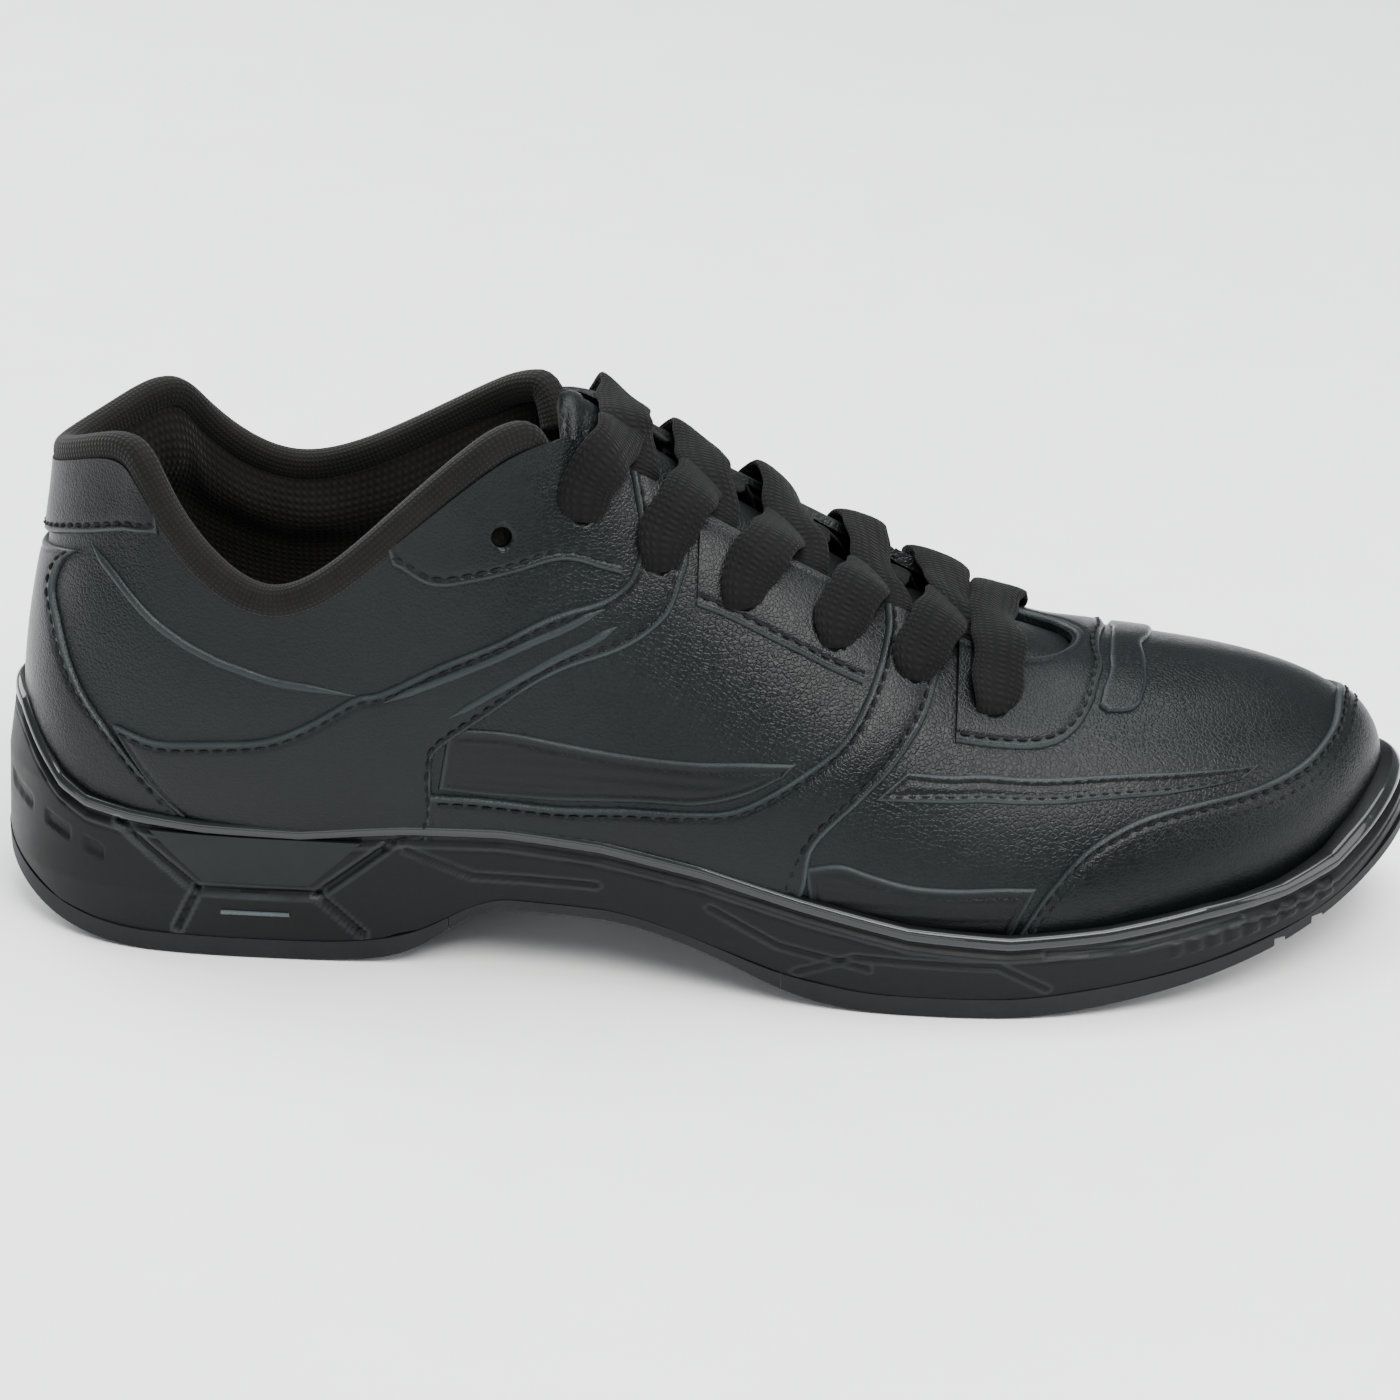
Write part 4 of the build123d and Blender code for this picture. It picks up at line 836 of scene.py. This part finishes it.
heel_edge = np.array([on_side(x, z) for x, z in HEEL_OVERLAY_EDGE])
heel_other = heel_edge * [-1, 1]
panel("heel_cover", heel_edge, heel_other, OVERLAY + 0.12, COATED, ["heel_overlay"])
for side, sign in (("lateral", 1), ("medial", -1)):
    seams[side].add(stitch_row(heel_edge * [sign, 1], OVERLAY + 0.22, heel_other * [sign, 1]))

tab_s = np.linspace(-0.096, 0.096, 15)
tab_low = np.stack([tab_s, along(TAB_SEAM, abs(tab_s))], 1)
tab_high = np.stack([tab_s, np.full(15, 0.945)], 1)
panel("heel_tab_cover", tab_low, tab_high, OVERLAY + 0.2, COATED, ["heel_tab"],
      ends=(True, True, True, False))
seams["lateral"].add(stitch_row(tab_low, OVERLAY + 0.3, tab_high))

toe_edge = both_halves(TOE_CAP_EDGE)
toe_foot = np.stack([toe_edge[:, 0], np.full(len(toe_edge), 0.02)], 1)
panel("toe_cap_cover", toe_edge, toe_foot, OVERLAY, COATED, ["toe_cap"], pitch=1.8)
seams["lateral"].add(stitch_row(toe_edge, OVERLAY + 0.08, toe_foot, 1.9))
seams["lateral"].add(stitch_row(toe_edge, OVERLAY + 0.18, toe_foot, 4.3))
throat_edge = both_halves(THROAT_EDGE)
throat_rim = np.stack([throat_edge[:, 0], np.full(len(throat_edge), 0.98)], 1)
facing = panel("front_facing_cover", throat_edge, throat_rim, OVERLAY - 0.03, COATED, ["front_facing"],
               pitch=1.4, ends=(False, False, True, True))
for side, medial in SIDES:
    punch(facing, [6], medial)
seams["lateral"].add(stitch_row(throat_edge, OVERLAY + 0.05, throat_rim))
tab_outer = both_halves([a for a, b in TAB_EDGES])
tab_inner = both_halves([b for a, b in TAB_EDGES])
panel("throat_tab_cover", tab_outer, tab_inner, OVERLAY - 0.05, COATED, ["throat_tab"], pitch=1.2,
      stitched=False, puff=0.1)
for side, medial in SIDES:
    seams[side].finish("stitching_" + side, THREAD)

# Binding round the collar: a padded band that folds over the rim.
rim_s = np.linspace(-0.2345, 0.2345, 220)
rim = surface(rim_s, 1.0)
rim_up = unit(rim - surface(rim_s, 0.97))
peak = np.clip((abs(rim_s) - 0.205) / 0.03, 0, 1)
binding_normal = outward(rim_s, 0.985)
tuck = np.clip((abs(rim_s) - 0.219) / 0.0155, 0, 1) ** 2
binding_path = (rim - (1.6 + 4.6 * tuck)[:, None] * binding_normal
                - (1.9 + 0.6 * peak + 6.5 * tuck)[:, None] * rim_up)
binding = tube("binding", binding_path, binding_normal, oval(6.6, 6.0, 20, 2.5), BINDING)
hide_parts("collar_binding")


# Padded lining of the collar and the quarters, one soft shell on each side.
for side, medial in SIDES:
    s, t = np.meshgrid(np.linspace(0.0015, 0.331, 150), np.linspace(0.03, 0.955, 60), indexing="ij")
    t = np.where(s > 0.245, np.minimum(t, 0.94), t)
    roll = np.exp(-((t - 0.80) / 0.12) ** 2) * fade(s, 0.175, 0.215)
    behind = fade(s, 0.14, 0.165) * fade(t, 0.62, 0.70)
    swell = 0.25 * np.sin(s * 260) * np.sin(t * 21) * roll
    depth = -(2.5 + 1.3 * behind + 5.4 * roll + swell)
    where = 1 - s if medial else s
    lining = shell("collar_lining_" + side, lifted(where, t, -1.55), lifted(where, t, depth), LINING_CLOTH)
    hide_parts("collar_padding_" + side, "quarter_lining_" + side)

dress(["quarter_lateral", "quarter_medial", "vamp"], BASE)
dress(["heel_counter", "toe_puff"], STIFFENER)
dress(["vamp_lining"], LINING_CLOTH)

# ---- tongue -----------------------------------------------------------------------------------

TONGUE_SECTIONS = [
    (236, 57.6, 12, 0.010), (224, 61.6, 14, 0.010), (214, 65, 15, 0.013), (205, 67.8, 16, 0.016),
    (185, 74.5, 20, 0.020), (165, 86, 19.5, 0.030), (145, 98.6, 17, 0.054), (130, 109, 15.8, 0.064),
    (119.5, 117.5, 15.5, 0.060)
]
TONGUE_EDGE_DROP = 9.0e-5
SOFT_EDGE = 4.0
TONGUE_ROWS = 90
tongue_line = sampled(TONGUE_SECTIONS, TONGUE_ROWS)


def tongue_grid(level):
    "points over the tongue's face at a level"
    v = np.linspace(-1, 1, level.shape[1])
    x, z, half, drop = [tongue_line[:, k][:, None] for k in range(4)]
    y = v[None, :] * (half + SOFT_EDGE)
    ahead = np.gradient(tongue_line, axis=0)
    slope = 2 * drop * y + 4 * TONGUE_EDGE_DROP * y ** 3
    normal = np.stack([ahead[:, 1][:, None] + 0 * y, -slope * ahead[:, 0][:, None],
                       -ahead[:, 0][:, None] + 0 * y], -1)
    face = np.stack([x - HALF_LENGTH + 0 * y, y, z - drop * y * y - TONGUE_EDGE_DROP * y ** 4], -1)
    return face + level[..., None] * unit(normal)


flat = tongue_grid(np.zeros((TONGUE_ROWS, 41)))
border = edge_distance(flat, (False, True, True, True))
pillow = np.sqrt(1 - (1 - np.clip(border / 4.5, 0, 1)) ** 2)
base_thin = 1 - 0.6 * fade(np.linspace(0, 1, TONGUE_ROWS), 0.0, 0.35)[:, None]
quilt = -0.5 * np.exp(-((border - 5.0) / 0.7) ** 2)
top_level = -2.6 * base_thin * (1 - pillow) - 0.05 + quilt
low_level = -2.6 * base_thin - 3.6 * base_thin * pillow
tongue = shell("tongue_cushion", tongue_grid(top_level), tongue_grid(low_level), BASE, "tongue",
               LINING_CLOTH, 70)
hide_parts("tongue_shell", "tongue_foam", "tongue_lining")


def over_tongue(x, y, height):
    "point over the tongue's face"
    line = tongue_line[::-1]
    top, drop = np.interp(x, line[:, 0], line[:, 1]), np.interp(x, line[:, 0], line[:, 3])
    return np.array([x - HALF_LENGTH, y, top - drop * y * y - TONGUE_EDGE_DROP * y ** 4 + height])


loop_y = np.linspace(-8.0, 8.0, 21)
loop_centres = np.array([over_tongue(145.5, y, 0.9) for y in loop_y])
loop_normals = np.array([(0.75, 2 * 0.054 * y, 1.0) for y in loop_y])
loop = tube("tongue_keeper", loop_centres, loop_normals, oval(6.5, 0.9, 14, 4), LACE_WEAVE, "tongue")
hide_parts("tongue_loop")

# ---- laces ------------------------------------------------------------------------------------

THROAT_TOP = 0.985
throat_s = np.linspace(0.22, 0.5, 400)
throat_x = surface(throat_s, THROAT_TOP)[:, 0] + HALF_LENGTH


def throat_place(x):
    "place round the shoe where the throat's edge is this far from the heel"
    return float(np.interp(x, throat_x, throat_s))


def at_place(s, t, height, medial):
    "point over a place given on the outer side, on either side, and its outward direction"
    s = 1 - s if medial else s
    return lifted(s, t, height), outward(s, t)


def crossing(number, medial, height):
    "waypoints and normals of one crossing, from under one facing to the next hole of the other"
    start, end = LACE_HOLES[number][0], LACE_HOLES[number - 1][0]
    hole, following = HOLE_PLACES[number], HOLE_PLACES[number - 1]
    under_s, over_s = [throat_place(start + share * (end - start)) for share in (0.25, 0.75)]
    edge, edge_normal = at_place(under_s, THROAT_TOP, -3.6, medial)
    far, far_normal = at_place(over_s, THROAT_TOP, 3.3, not medial)
    near, near_normal = at_place(following[0] + 0.15 * (over_s - following[0]),
                                 following[1] + 0.32 * (THROAT_TOP - following[1]), 3.0, not medial)
    under, under_normal = at_place(*hole, -4.6, medial)
    sink, sink_normal = at_place(*following, 1.2, not medial)
    inner = at_place(*following, -3.2, not medial)[0]
    up = np.array([0.45, 0, 1.0])
    half_y = 0.5 * edge[1]
    points = [under, edge, over_tongue(start + 0.38 * (end - start), half_y, height - 0.3),
              over_tongue(start + 0.52 * (end - start), 0.0, height), far, near, sink, inner]
    normals = [under_normal, edge_normal * 0.4 + up, up + [0, 0.35 * np.sign(half_y), 0], up, far_normal,
               near_normal, near_normal * 0.6 + sink_normal * 0.4,
               sink_normal * 0.25 + 0.9 * lace_turn(following, not medial)]
    return points, normals


def lace_turn(hole, medial):
    "direction down the side at a hole, for the lace's face as it turns in"
    s = 1 - hole[0] if medial else hole[0]
    return unit(surface(s, hole[1] - 0.05) - surface(s, hole[1]))


def ribbon(points, normals, width, thick, narrow_start, narrow_end):
    "points, faces and flat coordinates of a flat lace through waypoints"
    count = 16 * (len(points) - 1) + 1
    centres = sampled(points, count)
    face, side = path_frame(centres, sampled(normals, count))
    steps = run_length(centres)
    verts, uv, corners = [], [], 18
    for k in range(len(centres)):
        pinch = 1 - (1 - narrow_start) * math.exp(-(steps[k] / 4.5) ** 2)
        pinch *= 1 - (1 - narrow_end) * math.exp(-((steps[-1] - steps[k]) / 5.5) ** 2)
        wide = width * pinch * (1 + 0.05 * math.sin(steps[k] * 0.55 + points[0][0]))
        tall = thick * (0.55 + 0.45 / max(pinch, 0.4))
        twist = 0.20 * math.sin(steps[k] * 0.17 + 2.3 * points[-1][0])
        for c, (a, b) in enumerate(oval(wide, tall, corners, 2.8)):
            crown = 0.22 * tall * (1 - (2 * a / (wide + 1e-6)) ** 2) + twist * a
            verts.append(centres[k] + a * side[k] + (b + crown) * face[k])
            uv.append((steps[k], width * 2 * c / corners))
    return verts, ring_faces(len(centres), corners), uv


LACE_WIDTH, LACE_THICK = 11.6, 1.9
lace = Strands()
for start_side in (False, True):
    where = start_side
    for number in range(6, 1, -1):
        raised = (number + int(start_side)) % 2 == 0
        points, normals = crossing(number, where, 3.6 if raised else 1.6)
        lace.add(ribbon(points, normals, LACE_WIDTH, LACE_THICK, 0.8, 0.42))
        where = not where
bar_s, hole = throat_place(LACE_HOLES[6][0]), HOLE_PLACES[6]
for medial in (False, True):
    inner = at_place(*hole, -3.2, medial)[0]
    sink = at_place(*hole, 1.2, medial)[0]
    near, near_normal = at_place(hole[0], hole[1] + 0.32 * (THROAT_TOP - hole[1]), 2.8, medial)
    far, far_normal = at_place(bar_s, THROAT_TOP, 3.0, medial)
    half = [inner, sink, near, far]
    turn = lace_turn(hole, medial)
    half_normals = [turn, near_normal * 0.6 + 0.5 * turn, near_normal, far_normal]
    if medial:
        bar_points += [over_tongue(LACE_HOLES[6][0], 0.0, 2.4)] + half[::-1]
        bar_normals += [np.array([0.4, 0, 1.0])] + half_normals[::-1]
    else:
        bar_points, bar_normals = half, half_normals
lace.add(ribbon(bar_points, bar_normals, LACE_WIDTH, LACE_THICK, 0.42, 0.42))
TAIL_PLACES = [(0.234, 0.69), (0.224, 0.59), (0.214, 0.51)]
for medial in (False, True):
    points = [at_place(*HOLE_PLACES[1], -3.6, medial)[0]]
    normals = [at_place(*HOLE_PLACES[1], 0, medial)[1]]
    for s, t in TAIL_PLACES:
        point, normal = at_place(s, t, -9.2, medial)
        points.append(point)
        normals.append(normal)
    lace.add(ribbon(points, normals, 6.0, 1.8, 0.6, 0.5))
laces = lace.finish("flat_laces", LACE_WEAVE)
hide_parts("lace")
dress(["lace_tips"], TIP_PLASTIC)

# ---- sole -------------------------------------------------------------------------------------

sole_ring = cyclic_spline(SOLE_OUTLINE)


def sole_wall(name, nodes, columns=1100):
    """outer wall of the cup with its bead, lines and moulded grooves; the bead, the groove edges and the
    raised line are painted paler as highlight
    """
    ring = sole_ring(np.arange(columns) / columns)
    plan_normal = outward_in_plan(ring)
    low = along(UNDERSIDE, ring[:, 0]) + along(TREAD_DEPTH, ring[:, 0]) + 0.1
    top = along(RAND_LINE, ring[:, 0])
    rise = np.concatenate([np.linspace(0, 0.62, 30), np.linspace(0.64, 1.0, 28)])
    rows = len(rise)
    z = low[:, None] + (top - low)[:, None] * rise[None, :]
    down = top[:, None] - z
    x = ring[:, 0][:, None] + 0 * z
    inset = along(CUP_OUTSIDE, z)
    relief = -0.55 + 0.95 * np.sqrt(np.clip(1 - ((down - 1.5) / 1.5) ** 2, 0, 1))
    relief = np.where(down > 3.0, -0.55, relief)
    relief -= 0.5 * fade(abs(down - 3.5), 0.2, 0.8)
    relief += 0.55 * fade(abs(down - 5.2), 0.3, 1.0)
    relief = np.where(down > 5.0, np.maximum(relief, -0.55 + 0.5 * (1 - fade(down, 5.2, 6.6))), relief)
    relief += groove_field(x, z)
    at_toe = np.clip((x - 262) / 26, 0, 1)
    lean = 2.2 * ((z - low[:, None]) / (top - low)[:, None]) ** 2 * at_toe
    outer, inner = [np.stack([x - HALF_LENGTH + plan_normal[:, :1] * moved,
                              ring[:, 1:] + plan_normal[:, 1:] * moved, z], -1)
                    for moved in (relief - inset - lean, -inset - 1.9 - lean - 1.6 * at_toe)]
    inner = inner[:, ::rows - 1]
    points = np.vstack([outer.reshape(-1, 3), inner.reshape(-1, 3)])
    count = columns * rows
    faces = grid_faces(columns, rows, 0, False, True) + grid_faces(columns, 2, count, True, True)
    for i in range(columns):
        after = (i + 1) % columns
        a, b, c, d = i * rows, after * rows, count + 2 * i, count + 2 * after
        faces.append((a, c, d, b))
        faces.append((a + rows - 1, b + rows - 1, d + 1, c + 1))
    # the top 3.1 mm takes the paler glossy material: painted highlight on the bead
    bright = [i * (rows - 1) + j for i in range(columns) for j in range(rows - 1)
              if top[i] - z[i, j] < 3.1]
    piece = make_object(name, points, faces, SOLE, "shoe", None, 55, (BEAD_GLOSS_AND_HIGHLIGHT, bright))
    # painted highlight on the groove edges and on the raised line 5.4 mm below the top
    mark_painted_highlight(piece, 0.8 * groove_edge_highlight(x, z) + 0.5 * fade(abs(down - 5.4), 0.2, 0.7), 2 * columns)
    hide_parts(*nodes)


def line_distance(x, z, points):
    "distance in the side view to a run of straight lines"
    best = np.full(x.shape, 1e9)
    for (ax, az), (bx, bz) in zip(points, points[1:]):
        span = (bx - ax) ** 2 + (bz - az) ** 2
        f = np.clip(((x - ax) * (bx - ax) + (z - az) * (bz - az)) / span, 0, 1)
        best = np.minimum(best, np.hypot(x - ax - f * (bx - ax), z - az - f * (bz - az)))
    return best


WIDE_GROOVES = [
    [(27, 29.5), (44, 15.8), (69.5, 15.8), (85.5, 28.5)],
    [(44, 15.8), (39.5, 6)], [(69.5, 15.8), (79, 6.5)]
]
FINE_GROOVES = [
    [(42, 26.5), (48.5, 20.3), (65, 20.3), (75, 27)],
    [(88, 27), (102, 22), (128, 22.5)], [(152, 20.5), (166, 14), (185, 10.5)],
    [(170, 8), (182, 13), (212, 12.4), (222, 7)], [(222, 15), (240, 15.5), (262, 18.5)]
]
BUMP_START, BUMP_END, BUMP_PITCH = 247.0, 283.0, 4.0


def groove_edge_highlight(x, z):
    """where the edges of the grooves are painted paler as highlight"""
    edges = np.zeros(x.shape)
    for run in WIDE_GROOVES:
        edges = np.maximum(edges, fade(abs(line_distance(x, z, run) - 1.25), 0.25, 0.6))
    for run in FINE_GROOVES:
        edges = np.maximum(edges, 0.6 * fade(abs(line_distance(x, z, run) - 1.0), 0.2, 0.5))
    return edges


def groove_field(x, z):
    "moulded grooves and bumps, from places on the shoe's side"
    field = np.zeros(x.shape)
    for run in WIDE_GROOVES:
        field -= 1.0 * fade(line_distance(x, z, run), 0.35, 1.1)
    for run in FINE_GROOVES:
        field -= 0.5 * fade(line_distance(x, z, run), 0.25, 0.9)
    bump_line = np.interp(x, [230, 262, 290], [11.5, 16.0, 22.0])
    from_middle = abs((x - BUMP_START) % BUMP_PITCH - BUMP_PITCH / 2)
    bumps = fade(abs(z - bump_line), 1.1, 2.2) * fade(from_middle, 0.9, 1.5)
    inside = (x > BUMP_START) & (x < BUMP_END)
    field += np.where(inside, 0.55 * bumps, 0)
    heel_slots = fade(abs(z - 30 + 0.35 * x), 1.0, 1.8) * fade(abs(x % 9.0 - 4.5), 2.4, 3.2)
    return field - np.where((x < 24) & (z > 16), 0.6 * heel_slots, 0)


sole_wall("cup_wall", ["midsole"])
dress(["heel_insert_lateral", "heel_insert_medial"], LIGHT_INSERT)
dress(["outsole_heel", "outsole_forefoot"], TREAD_RUBBER)
dress(["shank_plate"], SHANK_PLASTIC)
dress(["heel_pad"], PAD_RUBBER)
dress(["slide_pad"], FELT)
dress(["steel_shank"], STEEL)
dress(["insole_board"], BOARD_FIBRE)

# Light bar in the heel's wall, on both sides.
for side, sign in (("lateral", -1), ("medial", 1)):
    bar_x = np.linspace(49.0, 63.5, 12)
    wall_y = -along(SOLE_OUTLINE[:6], bar_x)
    centres = np.stack([bar_x - HALF_LENGTH, sign * (wall_y - 0.05), np.full(12, 10.8)], 1)
    bar = tube("heel_bar_" + side, centres, np.tile([0, sign, 0.0], (12, 1)), oval(0.9, 1.1, 12, 3),
               LIGHT_BAR)

# Sockliner: a cupped foam bed with a cloth top.
rings, spokes = 26, 220
share = np.arange(spokes) / spokes
ring = sole_ring(share)
ring_inner = ring - outward_in_plan(ring) * 10.2
spine = np.stack([np.clip(ring_inner[:, 0], 34, 262), 0 * share], 1)
f = np.linspace(0.0, 1.0, rings)
plan = spine[:, None] + (ring_inner - spine)[:, None] * f[None, :, None]
board = along(BOARD_LINE, plan[..., 0])
cup = 2.2 * f[None, :] ** 5 + 0.25 * np.sin(plan[..., 0] * 0.05)
top = np.stack([plan[..., 0] - HALF_LENGTH, plan[..., 1], board + 6.4 + cup], -1)
bottom = np.stack([plan[..., 0] - HALF_LENGTH, plan[..., 1], board + 0.6], -1)
points = np.vstack([top.reshape(-1, 3), bottom.reshape(-1, 3)])
count = spokes * rings
faces = grid_faces(spokes, rings, 0, False, True) + grid_faces(spokes, rings, count, True, True)
for i in range(spokes):
    a, b = i * rings + rings - 1, ((i + 1) % spokes) * rings + rings - 1
    faces.append((a, b, b + count, a + count))
uv = np.tile(plan.reshape(-1, 2), (2, 1))
sock = make_object("sockliner", points, faces, SOCK_CLOTH, "shoe", uv, weld=True)
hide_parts("insole_cover", "insole_foam")

# ---- floor ------------------------------------------------------------------------------------

floor_mesh = bpy.data.meshes.new("floor")
floor_mesh.from_pydata([(-6, -6, 0), (6, -6, 0), (6, 6, 0), (-6, 6, 0)], [], [(0, 1, 2, 3)])
floor_mesh.materials.append(FLOOR)
floor = bpy.data.objects.new("floor", floor_mesh)
scene.collection.objects.link(floor)
floor.location.z = -0.0003
